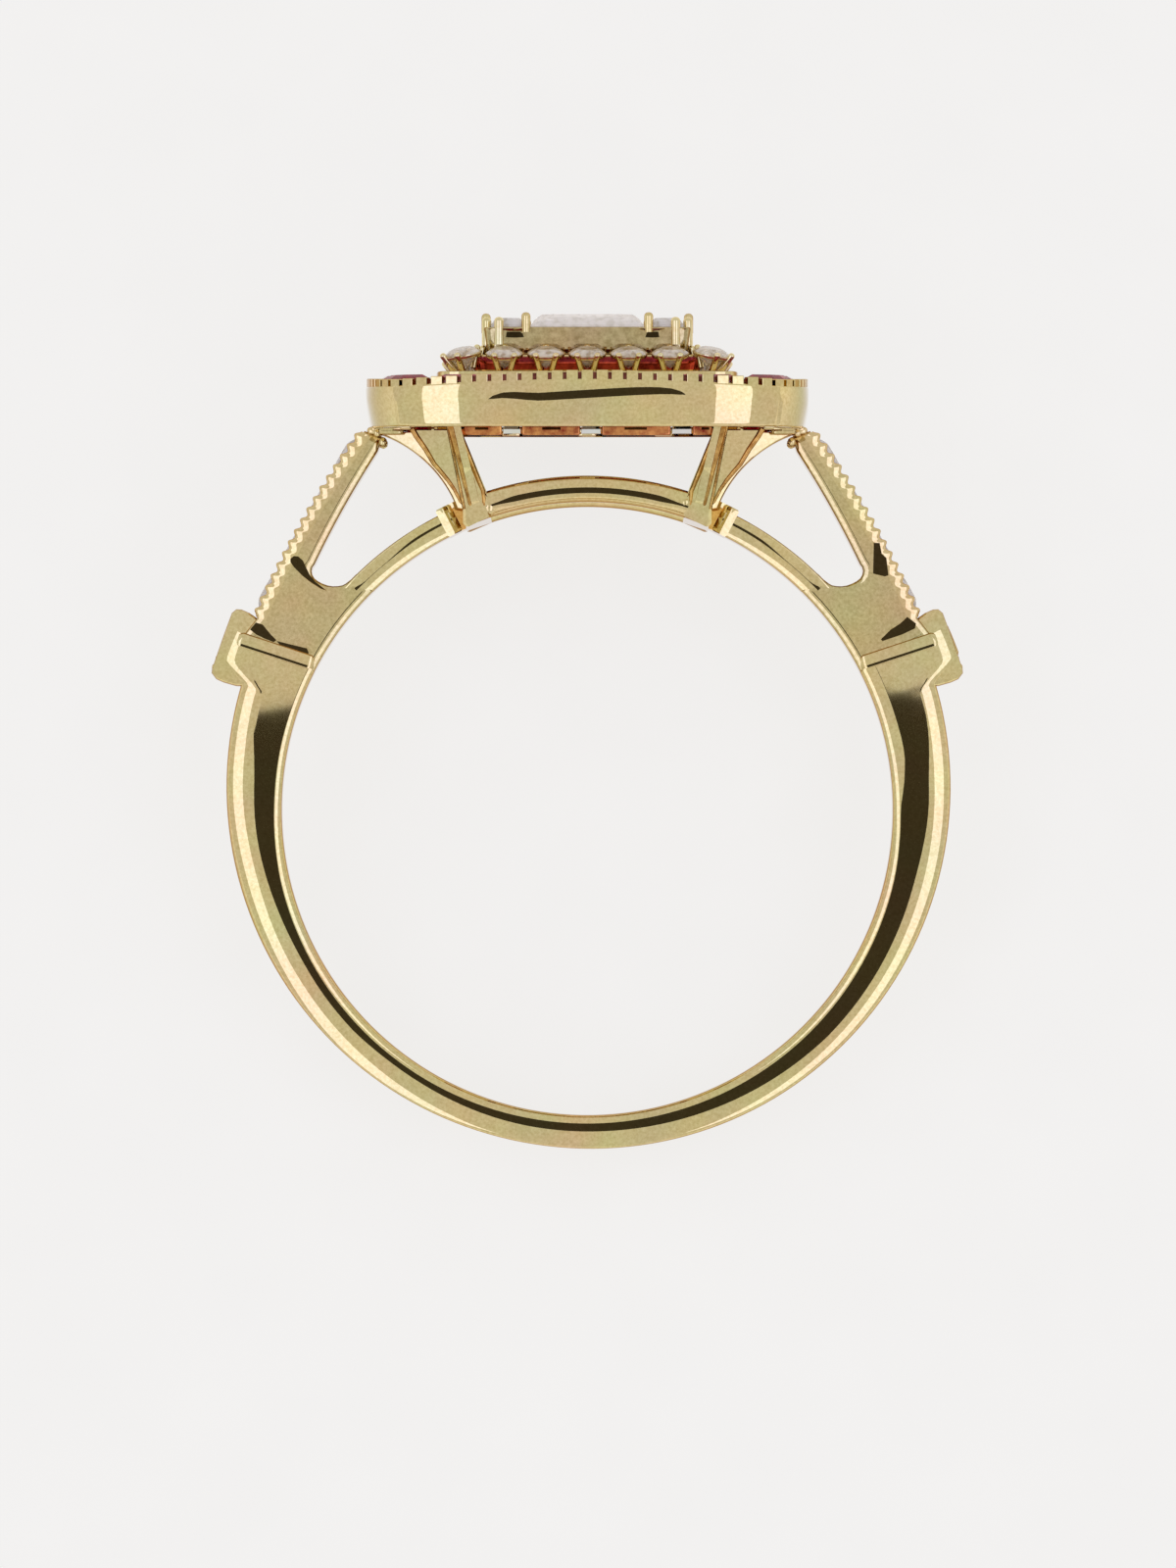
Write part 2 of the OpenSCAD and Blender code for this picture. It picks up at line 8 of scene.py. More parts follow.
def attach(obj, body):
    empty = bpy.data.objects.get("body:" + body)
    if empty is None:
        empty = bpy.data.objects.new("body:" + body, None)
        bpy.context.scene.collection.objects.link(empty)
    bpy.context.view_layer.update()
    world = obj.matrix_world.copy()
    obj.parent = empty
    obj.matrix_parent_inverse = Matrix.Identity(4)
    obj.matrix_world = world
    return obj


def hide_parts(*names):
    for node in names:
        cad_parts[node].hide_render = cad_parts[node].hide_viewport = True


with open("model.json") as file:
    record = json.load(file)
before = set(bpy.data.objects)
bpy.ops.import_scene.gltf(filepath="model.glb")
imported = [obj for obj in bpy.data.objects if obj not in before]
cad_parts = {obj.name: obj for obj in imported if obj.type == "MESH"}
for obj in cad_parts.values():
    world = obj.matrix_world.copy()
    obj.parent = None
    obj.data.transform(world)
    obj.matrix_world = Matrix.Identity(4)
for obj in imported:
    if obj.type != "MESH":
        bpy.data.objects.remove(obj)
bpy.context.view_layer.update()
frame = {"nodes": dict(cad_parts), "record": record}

# Finger band
# The plain shank is cast in yellow gold in one with the head and polished. Its sides are nearly flat, with a
# broad roll at the outer edge and a narrow one at the finger hole, and it flares out into the collets.
finger_r = 8.65
band_w = 2.4
shank_r = 10.28
shank_lift = 0.64
shank_full_t = 1.66
shank_top = 27
collet_flare = 0.90

# Everything is modelled upright in millimetres, the finger along Y and the head up, and then laid on its
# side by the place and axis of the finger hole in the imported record.
finger_hole = frame["record"]["mounts"][0]
finger_axis = Vector(finger_hole["axis"])
across = Vector((1, 0, 0))
lay = (Matrix.Translation(finger_hole["pos_m"])
       @ Matrix((across, -finger_axis, across.cross(-finger_axis))).transposed().to_4x4()
       @ Matrix.Scale(0.001, 4))


def speckle(tree, scale, detail=2):
    """Noise that belongs to the piece itself. The scale is how many grains go in a metre."""
    place = tree.nodes.new("ShaderNodeTexCoord")
    noise = tree.nodes.new("ShaderNodeTexNoise")
    noise.inputs["Scale"].default_value = scale
    noise.inputs["Detail"].default_value = detail
    tree.links.new(place.outputs["Object"], noise.inputs["Vector"])
    return noise


def tones(tree, measure, first, last):
    """A ramp between two tones, each given as (where it starts or ends, colour)."""
    ramp = tree.nodes.new("ShaderNodeValToRGB")
    for stop, (position, colour) in zip(ramp.color_ramp.elements, (first, last)):
        stop.position = position
        stop.color = colour
    tree.links.new(measure, ramp.inputs["Fac"])
    return ramp


def multiplied(tree, colour, by, factor=1.0):
    mix = tree.nodes.new("ShaderNodeMix")
    mix.data_type = "RGBA"
    mix.blend_type = "MULTIPLY"
    mix.inputs["Factor"].default_value = factor
    tree.links.new(colour, mix.inputs["A"])
    tree.links.new(by, mix.inputs["B"])
    return mix


def low_angle(tree):
    """How far a surface is turned away from whoever looks at it."""
    edge = tree.nodes.new("ShaderNodeLayerWeight")
    edge.inputs["Blend"].default_value = 0.5
    return edge


white = (1, 1, 1, 1)


def yellow_gold(name, shade, light, grain=11000, turned=(0.62, 0.44, 0.28, 1), rim=(0.75, 0.6, 0.45, 1)):
    """Polished eighteen carat gold with a very fine mottling and a slow change of tone. Where it is seen at
    a low angle its colour is painted browner, a painted shade, unless it is given another colour for that."""
    finish = bpy.data.materials.new(name)
    finish.use_nodes = True
    tree = finish.node_tree
    metal = tree.nodes["Principled BSDF"]
    metal.inputs["Metallic"].default_value = 1.0
    metal.inputs["Specular IOR Level"].default_value = 0.5
    mottle = speckle(tree, grain, 3)
    mottle.inputs["Roughness"].default_value = 0.7
    tone = tones(tree, mottle.outputs["Fac"], (0.3, shade), (0.7, light))
    cloud = speckle(tree, 600)
    patina = multiplied(tree, tone.outputs["Color"], cloud.outputs["Color"], 0.25)
    # Painted shade: the colour is darkened towards the turned colour where the surface is seen at a low
    # angle.
    painted_low_angle_shade = tones(tree, low_angle(tree).outputs["Facing"], (0.35, white), (0.75, turned))
    with_painted_shade = multiplied(tree, patina.outputs["Result"], painted_low_angle_shade.outputs["Color"])
    tree.links.new(with_painted_shade.outputs["Result"], metal.inputs["Base Color"])
    metal.inputs["Specular Tint"].default_value = rim
    sheen = tree.nodes.new("ShaderNodeMapRange")
    sheen.inputs["From Min"].default_value = 0.3
    sheen.inputs["From Max"].default_value = 0.7
    sheen.inputs["To Min"].default_value = 0.012
    sheen.inputs["To Max"].default_value = 0.022
    tree.links.new(cloud.outputs["Fac"], sheen.inputs["Value"])
    tree.links.new(sheen.outputs["Result"], metal.inputs["Roughness"])
    return finish


gold = yellow_gold("polished yellow gold", (0.74, 0.580, 0.262, 1), (0.97, 0.800, 0.425, 1))


def clear_selection():
    if bpy.context.object and bpy.context.object.mode != "OBJECT":
        bpy.ops.object.mode_set(mode="OBJECT")
    bpy.ops.object.select_all(action="DESELECT")


def drawn_through(loops, joined=False):
    """A grid drawn through loops of points one after another, then joined end to end or capped."""
    clear_selection()
    rows = loops + loops[:1] if joined else loops
    around = len(loops[0])
    bpy.ops.mesh.primitive_grid_add(x_subdivisions=around, y_subdivisions=len(rows) - 1, size=1)
    piece = bpy.context.object
    piece.data.vertices.foreach_set("co", [c for row in rows for p in row + row[:1] for c in p])
    piece.data.update()
    bpy.ops.object.mode_set(mode="EDIT")
    bpy.ops.mesh.select_all(action="SELECT")
    bpy.ops.mesh.remove_doubles(threshold=1e-5)
    if not joined:
        bpy.ops.mesh.select_all(action="DESELECT")
        bpy.ops.mesh.select_non_manifold()
        bpy.ops.mesh.edge_face_add()
        bpy.ops.mesh.select_all(action="SELECT")
    bpy.ops.mesh.normals_make_consistent(inside=False)
    bpy.ops.object.mode_set(mode="OBJECT")
    return piece


def face_of(stops, half_width, steps=4):
    """The side face of a bar, as (distance from the finger hole, Y) pairs: its slope turns evenly
    from each stop (distance, degrees of slope) to the next, and its highest line is at half_width."""
    d, a = stops[0][0], radians(stops[0][1])
    y = 0.0
    points = [(d, y)]
    for to_d, to_slope in stops[1:]:
        to_a = radians(to_slope)
        if abs(sin(to_a) - sin(a)) < 1e-6:
            y -= tan(a) * (to_d - d)
            points.append((to_d, y))
        else:
            bend = (to_d - d) / (sin(to_a) - sin(a))
            for k in range(1, steps + 1):
                b = a + (to_a - a) * k / steps
                points.append((d + bend * (sin(b) - sin(a)), y + bend * (cos(b) - cos(a))))
            y = points[-1][1]
        d, a = to_d, to_a
    top = max(p[1] for p in points)
    return [(p[0], p[1] - top + half_width) for p in points]


def both_faces(face):
    return face + [(d, -y) for d, y in reversed(face)]


def settle(piece, name, finish, smooth=32.0, stands_for=()):
    """Gives a finished piece its name, finish, smoothness and place in the laid ring."""
    clear_selection()
    piece.select_set(True)
    bpy.context.view_layer.objects.active = piece
    bpy.ops.object.transform_apply(location=True, rotation=True, scale=True)
    piece.name = name
    piece.data.name = name
    piece.data.materials.clear()
    piece.data.materials.append(finish)
    piece.data.transform(lay)
    if smooth:
        bpy.ops.object.shade_smooth_by_angle(angle=radians(smooth))
    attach(piece, "root")
    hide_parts(*stands_for)
    return piece


def gently(share):
    share = min(max(share, 0.0), 1.0)
    return share * share * (3 - 2 * share)


def shank_loop(angle):
    """One section of the shank: a narrow roll at the finger, a flat that mirrors the camera, and a broad
    roll at the outer edge. The left side of the real one is a little thinner and rounder."""
    a = radians(angle)
    elevation = degrees(asin(sin(a)))
    left = gently(-1.4 * cos(a))
    right = gently(1.4 * cos(a))
    low = gently((-elevation - 30) / 60)
    high = gently((elevation - 4) / 8)
    near_collet = gently((elevation - 12) / 6)
    flare = collet_flare * gently((elevation - 19.4) / 3.6)
    plain = shank_lift * sin(a) + sqrt(shank_r ** 2 - (shank_lift * cos(a)) ** 2) - finger_r
    thick = plain + flare - 0.07 * gently(0.6 - cos(a))
    scale = min((thick / shank_full_t) ** 1.05, 1.0)

    # The flat begins further out on the right side, and further in towards the collets.
    late = 0.26 * right * gently((elevation + 1) / 12)
    early = 0.055 * gently((elevation + 15) / 20)
    flat = 0.27 - 0.035 * low - 0.5 * early + late - near_collet * (0.021 + 0.5 * early)
    flat_slope = -0.4 * (1 - high)

    # It ends where the outer roll starts. The roll is broader at the bottom and down the left side.
    roll = 0.79 - 0.17 * gently((elevation - 4) / 13.5) + 0.16 * low
    roll += left * (0.1 + 0.28 * gently(-elevation / 30)) * gently((elevation + 95) / 45)
    roll -= 0.14 * right * gently((elevation + 14) / 16) + 0.07 * left * gently((elevation - 8) / 6)
    start = thick - roll * scale - flare * gently((elevation - 20) / 3)
    start_slope = 0.5 - 0.45 * high
    wide = left * gently((6 - elevation) / 20)
    half_round = 0.44 + 0.16 * wide
    last_round = 0.14 + 0.09 * wide - 0.13 * left * gently((-elevation - 20) / 25)

    face = face_of([(0, -88), (0.14 - 0.03 * low - early, -22), (0.235 - 0.035 * low - early, -8),
                    (0.239 - 0.035 * low - early + late, -5), (flat, flat_slope), (flat + 0.006, flat_slope),
                    (start - 0.03, start_slope), (start, start_slope), (thick - half_round * scale, 7),
                    (thick - last_round * scale, 22), (thick, 88)], band_w / 2)
    return [((finger_r + d) * cos(a), y, (finger_r + d) * sin(a)) for d, y in both_faces(face)]


right_flare = [shank_top - 0.5 * i for i in range(24)]
plain_part = [15 - 2 * i for i in range(106)]
left_flare = [-195.5 - 0.5 * i for i in range(24)]
shank = drawn_through([shank_loop(angle) for angle in right_flare + plain_part + left_flare])
settle(shank, "shank", gold, stands_for=["gold_mount"])

# Box collets and their collars
# A small square box of gold stands out of each shoulder and holds one round diamond, with a line of
# milgrain round its mouth. A raised collar crosses the band under it. Boxes and collars are soldered on.
collet_half_w = 1.1
collet_side = [(9.78, 5.66), (9.93, 5.67), (10.06, 5.56), (10.31, 4.88), (10.62, 3.98), (10.63, 3.86),
               (10.50, 3.69), (10.30, 3.60), (9.95, 3.50), (9.20, 3.47), (8.80, 4.65), (9.30, 5.38),
               (9.55, 5.56)]
collet_edge = [(0.02, 0.09), (0.035, 0.03)]
collet_place = radians(24.9)
collet_facing = radians(22)
collet_reach = 11.32
grain_r = 0.13
grains_sunk = 0.07
grains_half_w = 0.96
grains_half_h = 0.78


def plate(outline, back, front, edge):
    """A plate with the given outline: a filled ring of points pulled forward, then its front face
    inset in steps (inwards, forwards) that make its rolled edge."""
    clear_selection()
    bpy.ops.mesh.primitive_circle_add(vertices=len(outline), radius=1, fill_type="NGON")
    piece = bpy.context.object
    for vertex, (x, z) in zip(piece.data.vertices, outline):
        vertex.co = (x, -back, z)
    bpy.ops.object.mode_set(mode="EDIT")
    bpy.ops.mesh.select_all(action="SELECT")
    bpy.ops.mesh.extrude_region_move(
        TRANSFORM_OT_translate={"value": (0, -(front - back - sum(e[1] for e in edge)), 0)})
    for inwards, forwards in edge:
        bpy.ops.mesh.inset(thickness=inwards, depth=0, use_even_offset=True)
        bpy.ops.transform.translate(value=(0, -forwards, 0))
    bpy.ops.mesh.select_all(action="SELECT")
    bpy.ops.mesh.normals_make_consistent(inside=False)
    bpy.ops.object.mode_set(mode="OBJECT")
    return piece


def mirrored(piece, flip):
    """A copy of a piece that is flipped to its other place, with its mesh turned the right way out."""
    other = piece.copy()
    other.data = piece.data.copy()
    bpy.context.collection.objects.link(other)
    other.data.transform(flip)
    other.data.flip_normals()
    return other


def joined_into_one(pieces):
    clear_selection()
    for piece in pieces:
        piece.select_set(True)
    bpy.context.view_layer.objects.active = pieces[0]
    bpy.ops.object.join()
    return bpy.context.object


def repeated(model, places, name):
    """Copies of a small model at many places, joined in one mesh."""
    points = [v.co.copy() for v in model.data.vertices]
    faces = [list(p.vertices) for p in model.data.polygons]
    mesh = bpy.data.meshes.new(name)
    mesh.from_pydata([place @ p for place in places for p in points], [],
                     [[i * len(points) + v for v in f] for i in range(len(places)) for f in faces])
    row = bpy.data.objects.new(name, mesh)
    bpy.context.collection.objects.link(row)
    bpy.data.objects.remove(model)
    return row


def bead(r):
    clear_selection()
    bpy.ops.mesh.primitive_ico_sphere_add(subdivisions=2, radius=r)
    grain = bpy.context.object
    grain.data.transform(Matrix.Diagonal((1, 1, 1.08, 1)))
    return grain


finger_way = Vector((0, 1, 0))
front_to_back = Matrix.Scale(-1, 4, finger_way)
for side, turn in [("left", -1), ("right", 1)]:
    half = plate([(turn * x, z) for x, z in collet_side], 0.0, collet_half_w, collet_edge)
    settle(joined_into_one([half, mirrored(half, front_to_back)]), "collet_" + side, gold, smooth=25)
    out = Vector((turn * cos(collet_facing), 0, sin(collet_facing)))
    up = Vector((-turn * sin(collet_facing), 0, cos(collet_facing)))
    mouth = Vector((turn * collet_reach * cos(collet_place), 0, collet_reach * sin(collet_place)))
    middle = mouth - out * grains_sunk
    grains = []
    for i in range(7):
        for over in (-1, 1):
            beside = up * (-1 + i / 3) * grains_half_h + finger_way * over * grains_half_w
            above = up * over * grains_half_h + finger_way * (-0.75 + i / 4) * grains_half_w
            grains += [Matrix.Translation(middle + beside), Matrix.Translation(middle + above)]
    settle(repeated(bead(grain_r), grains, "grains"), "collet_milgrain_" + side, gold, smooth=60)

collar_low = (7.74, 4.14)
collar_high = (9.88, 4.84)
collar_w = 0.42
collar_proud = 0.12
collar_swell = [(0, 0.5), (0.02, 0.8), (0.05, 1), (0.07, 1), (0.94, 1), (0.95, 1), (0.98, 0.85), (1, 0.6)]
for side, turn in [("left", -1), ("right", 1)]:
    along = Vector((turn * (collar_high[0] - collar_low[0]), 0, collar_high[1] - collar_low[1]))
    rise = Vector((-along.z, 0, along.x)).normalized() * turn
    loops = []
    for share, size in collar_swell:
        centre = Vector((turn * collar_low[0], 0, collar_low[1])) + along * share
        face = face_of([(-0.5, -85), (-0.49, -30), (-0.48, -1.3), (-0.27, -0.1), (-0.24, 2), (0.38, 4.5),
                        (0.41, 30), (0.5, 85)], band_w / 2 + collar_proud * size)
        loops.append([centre + rise * d * collar_w * size + Vector((0, y, 0)) for d, y in both_faces(face)])
    settle(drawn_through([[tuple(p) for p in loop] for loop in loops]), "collar_" + side, gold, smooth=40)

# Split shoulders
# Above the collar the shoulder splits in two. The outer arm is two thin gold plates with a milgrained edge
# and a channel of small diamonds between them, sawn and filed from the same casting.
arm_foot = (9.369, 5.453)
arm_top = (6.38, 10.70)
arm_bow = 0.16
arm_teeth = 17
tooth_h = 0.125
milgrain_w = 0.30
channel_half_w = 0.75
arm_t = 0.93
arm_thinning = 0.24
arm_length = hypot(arm_top[0] - arm_foot[0], arm_top[1] - arm_foot[1])
arm_way = ((arm_top[0] - arm_foot[0]) / arm_length, (arm_top[1] - arm_foot[1]) / arm_length)
arm_out = (arm_way[1], -arm_way[0])
bow_r = ((arm_length / 2) ** 2 + arm_bow ** 2) / (2 * arm_bow)
bow_centre = [(arm_foot[k] + arm_top[k]) / 2 - arm_out[k] * (bow_r - arm_bow) for k in (0, 1)]


def bowed_edge(inside, count, low=0.0, high=1.0):
    """Points up the arm at a depth inside its bowed edge, which may change from its foot to its top."""
    points = []
    for i in range(count + 1):
        share = low + (high - low) * i / count
        r = bow_r - inside(share)
        a = asin((share - 0.5) * arm_length / bow_r)
        points.append(tuple(bow_centre[k] + r * (arm_out[k] * cos(a) + arm_way[k] * sin(a)) for k in (0, 1)))
    return points


def on_circle(r, angle):
    return (r * cos(radians(angle)), r * sin(radians(angle)))


finger_side = [on_circle(finger_r, 26.7 + i * 1.89) for i in range(11)]
crotch = [on_circle(9.33, 45.6), on_circle(9.33, 44.2), (6.83, 6.395), (6.92, 6.345), (7.05, 6.32),
          (7.20, 6.315), (7.35, 6.34), (7.50, 6.395), (7.62, 6.46), (7.72, 6.54), (7.78, 6.64), (7.80, 6.75),
          (7.78, 6.85)]
arm_inside = bowed_edge(lambda share: arm_t - arm_thinning * share, 12, 0.345, 0.965)
arm_head = [(5.80, 10.50), (6.30, 10.71)]
shoulder_edge = [(0.012, 0.06), (0.02, 0.028), (0.03, 0.016), (0.075, 0.0201), (0.06, 0.0084),
                 (0.02, 0.0007), (0.01, 0.0)]
sharp_edge = [(0.002, 0.002)]
shoulder_side = (finger_side + crotch + arm_inside + arm_head
                 + list(reversed(bowed_edge(lambda share: 0.04, 24)))[1:] + [(9.78, 4.87)])
core_side = (finger_side + crotch + arm_inside + arm_head
             + list(reversed(bowed_edge(lambda share: 0.16, 10, 0.02, 0.98))) + [(9.7, 4.87)])
# The shoulders' gold is painted a little darker than the rest of the gold, a painted shade.
shoulder_gold_painted_dark = yellow_gold("gold of the shoulders, painted darker", (0.62, 0.49, 0.22, 1), (0.89, 0.73, 0.385, 1))
for side, turn in [("left", -1), ("right", 1)]:
    front = plate([(turn * x, z) for x, z in shoulder_side], channel_half_w, band_w / 2, shoulder_edge)
    core = plate([(turn * x, z) for x, z in core_side], -channel_half_w - 0.01, channel_half_w + 0.01,
                 sharp_edge)
    shoulder = joined_into_one([front, mirrored(front, front_to_back), core])
    settle(shoulder, "shoulder_" + side, shoulder_gold_painted_dark)

# The milgrain of the outer arms: a rolled strip along each plate, cut into round teeth that run out inwards.
def toothed_line(depth):
    fade = tooth_h * (1 - depth / milgrain_w)
    return bowed_edge(lambda share: depth - fade * (0.5 - 0.5 * cos(2 * pi * arm_teeth * share)),
                      arm_teeth * 8)


strip_face = [(0, channel_half_w), (-milgrain_w, channel_half_w)]
strip_face += face_of([(-0.30, 0.5), (-0.24, 6), (-0.07, 21), (-0.03, 50), (0, 85)], band_w / 2 + 0.006)
strip_lines = [toothed_line(-d) for d, y in strip_face]
for side, turn in [("left", -1), ("right", 1)]:
    strip = drawn_through([[(turn * x, -y, z) for (d, y), (x, z) in zip(strip_face, section)]
                           for section in zip(*strip_lines)])
    settle(joined_into_one([strip, mirrored(strip, front_to_back)]), "arm_milgrain_" + side, gold, smooth=50)

# The flats of the shoulders aren't quite true. Shallow dips left by the wheel mirror the camera.
dip_lean = radians(2.2)
dip_back = 1.1
dip_front = band_w / 2 + 0.008
dips = {"left": [[(8.40, 7.09), (8.30, 7.17), (8.18, 7.16), (8.04, 7.04), (7.94, 6.82), (7.84, 6.62),
                  (7.70, 6.45), (7.37, 6.19), (7.54, 6.25), (7.81, 6.42), (8.06, 6.61), (8.29, 6.84),
                  (8.40, 7.0)],
                 [(9.54, 5.09), (9.37, 5.29), (9.18, 5.23), (8.95, 4.95), (8.79, 4.79), (8.87, 4.73),
                  (9.15, 4.84), (9.37, 4.95)],
                 [(8.79, 4.77), (8.35, 4.66), (7.93, 4.56), (7.87, 4.42), (8.03, 4.35), (8.59, 4.51)]],
        "right": [[(8.10, 7.54), (8.27, 7.54), (8.33, 7.23), (8.46, 7.12), (8.52, 6.62), (8.41, 6.59),
                   (8.08, 6.67)],
                  [(9.05, 5.45), (9.30, 5.26), (9.27, 5.12), (8.91, 4.95), (8.35, 4.76), (8.30, 4.81),
                   (8.58, 5.09), (8.85, 5.26)]]}
for side, turn in [("left", -1), ("right", 1)]:
    pieces = []
    for outline in dips[side]:
        low = min(z for x, z in outline)
        dip = plate([(turn * x, z) for x, z in outline], dip_back, dip_front, sharp_edge)
        for vertex in dip.data.vertices:
            if vertex.co.y < -(dip_back + dip_front) / 2:
                vertex.co.y -= (vertex.co.z - low) * tan(dip_lean)
        pieces += [dip, mirrored(dip, front_to_back)]
    settle(joined_into_one(pieces), "shoulder_dips_" + side, gold, smooth=25)

# A lump of solder joins the top of each arm to the frame, with two drops of it in front and two behind.
lump_at = (5.72, 10.71)
lump_size = (1.02, 2.44, 0.22)
drops_at = [(5.79, 1.10, 10.40), (5.95, 1.12, 10.66)]
drop_r = 0.13


def block(middle, size, edge, steps, turned=Matrix()):
    """A block with rounded edges, turned about the head's axis once it stands at its place."""
    clear_selection()
    bpy.ops.mesh.primitive_cube_add(size=1)
    piece = bpy.context.object
    piece.data.transform(turned @ Matrix.Translation(middle) @ Matrix.Diagonal(size).to_4x4())
    bpy.ops.object.mode_set(mode="EDIT")
    bpy.ops.mesh.select_all(action="SELECT")
    bpy.ops.mesh.bevel(offset=edge, segments=steps, affect="EDGES")
    bpy.ops.object.mode_set(mode="OBJECT")
    return piece


for side, turn in [("left", -1), ("right", 1)]:
    lump = block((turn * lump_at[0], 0, lump_at[1]), lump_size, 0.1, 3)
    drops = [Matrix.Translation((turn * x, over * y, z)) for x, y, z in drops_at for over in (-1, 1)]
    run = repeated(bead(drop_r), drops, "drops")
    settle(joined_into_one([lump, run]), "arm_joint_" + side, gold, smooth=40)

# Inner arms
# The lower half of the split goes on with the curve of the finger hole. It is a thin gold bar with rounded
# sides, and it ends in a small bevelled block soldered against the base of the gallery.
inner_arm_t = 0.67
inner_arm_angles = range(41, 66)
end_block_at = (3.92, 8.17)
end_block_lean = radians(-27)
end_block_swell = [(-0.42, 0.8), (-0.37, 1.0), (0.37, 1.0), (0.42, 0.8)]
end_block_face = [(-0.62, 0.95), (-0.24, 1.04), (-0.03, 1.24), (0.0, 1.255), (0.03, 1.25), (0.22, 1.21)]


def bar_loop(angle):
    """A rounded bar along the finger hole. Its face turns from leaning inwards to leaning outwards."""
    a = radians(angle)
    elevation = degrees(asin(sin(a)))
    half_w = band_w / 2 - 0.01 + 0.015 * gently((elevation - 41) / 4)
    mirror_w = 0.012 + 0.09 * gently((elevation - 50) / 8)
    face = face_of([(0, -88), (0.05, -24), (0.22, -8.0), (0.25, -6.4), (0.34, -5.4), (0.34 + mirror_w, -0.6),
                    (inner_arm_t - 0.05, 4.5), (inner_arm_t, 85)], half_w)
    return [((finger_r + d) * cos(a), y, (finger_r + d) * sin(a)) for d, y in both_faces(face)]


for side, turn in [("left", -1), ("right", 1)]:
    arm = drawn_through([bar_loop(90 - turn * (90 - angle)) for angle in inner_arm_angles])
    settle(arm, "inner_arm_" + side, gold)
    outwards = Vector((turn * cos(end_block_lean), 0, sin(end_block_lean)))
    upwards = Vector((-turn * sin(end_block_lean), 0, cos(end_block_lean)))
    centre = Vector((turn * end_block_at[0], 0, end_block_at[1]))
    loops = []
    for rise, size in end_block_swell:
        level = centre + upwards * rise
        loops.append([tuple(level + outwards * s * size + finger_way * (y - 0.1 * (1 - size)))
                      for s, y in both_faces(end_block_face)])
    settle(drawn_through(loops), "arm_end_" + side, gold, smooth=20)

# Ribs
# A thin trumpet-shaped rib of gold closes each opening on the head's side. It is widest under the ruby
# frame, where it is soldered, and runs down to nothing at the base of the gallery.
rib_centre = (7.08, 7.20)
rib_r = 3.64
rib_foot_x = 3.6
rib_thinning = 0.15
rib_inside = [(3.50, 8.48), (3.52, 8.70), (3.62, 9.04), (3.80, 9.34), (3.97, 9.54), (4.28, 9.90),
              (4.55, 10.18), (4.78, 10.54), (4.98, 10.70)]
for side, turn in [("left", -1), ("right", 1)]:
    opening_side = [(rib_centre[0] + rib_r * cos(radians(a)), rib_centre[1] + rib_r * sin(radians(a)))
                    for a in range(108, 160, 3)]
    outline = [(turn * x, z) for x, z in rib_inside + opening_side]
    rib = plate(outline, 0.0, band_w / 2, [(0.015, 0.05), (0.02, 0.02)])
    for vertex in rib.data.vertices:
        vertex.co.y *= 1 - (abs(vertex.co.x) - rib_foot_x) * rib_thinning
    settle(joined_into_one([rib, mirrored(rib, front_to_back)]), "rib_" + side, gold, smooth=25)

# Gallery
# A square base of rounded gold rails follows the finger. Four corner legs rise from it and flare out with
# the head, each with two thin webs behind it. The sides stay open to let light in under the stones.
base_half = 3.5
rail_w = 0.8
rail_from = 71.5
rail_span = 37
rail_steps = 36
base_t = 0.74
for over, name in [(-1, "front"), (1, "back")]:
    loops = []
    for i in range(rail_steps + 1):
        a = radians(rail_from + rail_span * i / rail_steps)
        mirror_w = 0.20 - 0.13 * gently((abs(finger_r * cos(a)) - 1.9) / 0.7)
        low = 0.31 - mirror_w / 2
        face = face_of([(0, -85), (0.10, -50), (low - 0.06, -40), (low - 0.04, -8), (low, -4.2),
                        (low + mirror_w, -0.6), (low + mirror_w + 0.05, 3), (0.68, 16), (base_t, 80)],
                       rail_w / 2)
        loops.append([((finger_r + d) * cos(a), over * (base_half - rail_w / 2) + y, (finger_r + d) * sin(a))
                      for d, y in both_faces(face)])
    settle(drawn_through(loops), "gallery_rail_" + name, gold)
for side, turn in [("left", -1), ("right", 1)]:
    loops = []
    for y, shrink in [(-base_half + 0.02, 0.08), (-base_half + 0.1, 0.0), (base_half - 0.1, 0.0),
                      (base_half - 0.02, 0.08)]:
        outline = [(2.72 + shrink, 8.215), (3.42 - shrink, 7.95), (base_half - shrink, 8.05),
                   (base_half - shrink, 8.72 - shrink), (3.42 - shrink, 8.8 - shrink),
                   (2.8 + shrink, 8.93 - shrink), (2.72 + shrink, 8.85 - shrink)]
        loops.append([(turn * x, y, z) for x, z in outline])
    settle(drawn_through(loops), "gallery_rail_" + side, gold, smooth=30)

# A leg with its two webs and the two round lumps at its foot is made for the front corner on the right, and
# turned to each corner. Every web leans inwards at its foot.
leg_wall = 0.42
leg_bevel = 0.14
foot_z = 8.34
foot_ridge = 3.46
ridge_flare = 0.2
foot_inside = 2.80
bend_z = 8.95
bend_inside = 2.84
inside_flare = 0.413
web_plane = 3.2
web_t = 0.3
web_lean = radians(14)
web_hinge_z = 9.3
web_edge = [(3.36, 8.45), (3.50, 8.60), (3.62, 8.72), (3.79, 9.06), (3.97, 9.33), (4.19, 9.60),
            (4.36, 9.80), (4.60, 10.22), (4.86, 10.60), (4.98, 10.82)]
web_side = [(3.2, 8.45)] + web_edge + [(3.6, 10.82), (3.45, 9.6)]
foot_r = 0.24
feet_at = [(2.76, -3.28, 8.62), (3.28, -2.76, 8.5)]


def leg_inside(z):
    """How far the inner edge of a leg is from the middle. It is upright at the foot, then it flares."""
    return max(bend_inside + inside_flare * (z - bend_z), foot_inside)


def leg_ridge(z):
    """How far the outer edge of a leg is from the middle."""
    return foot_ridge + ridge_flare * (z - foot_z)


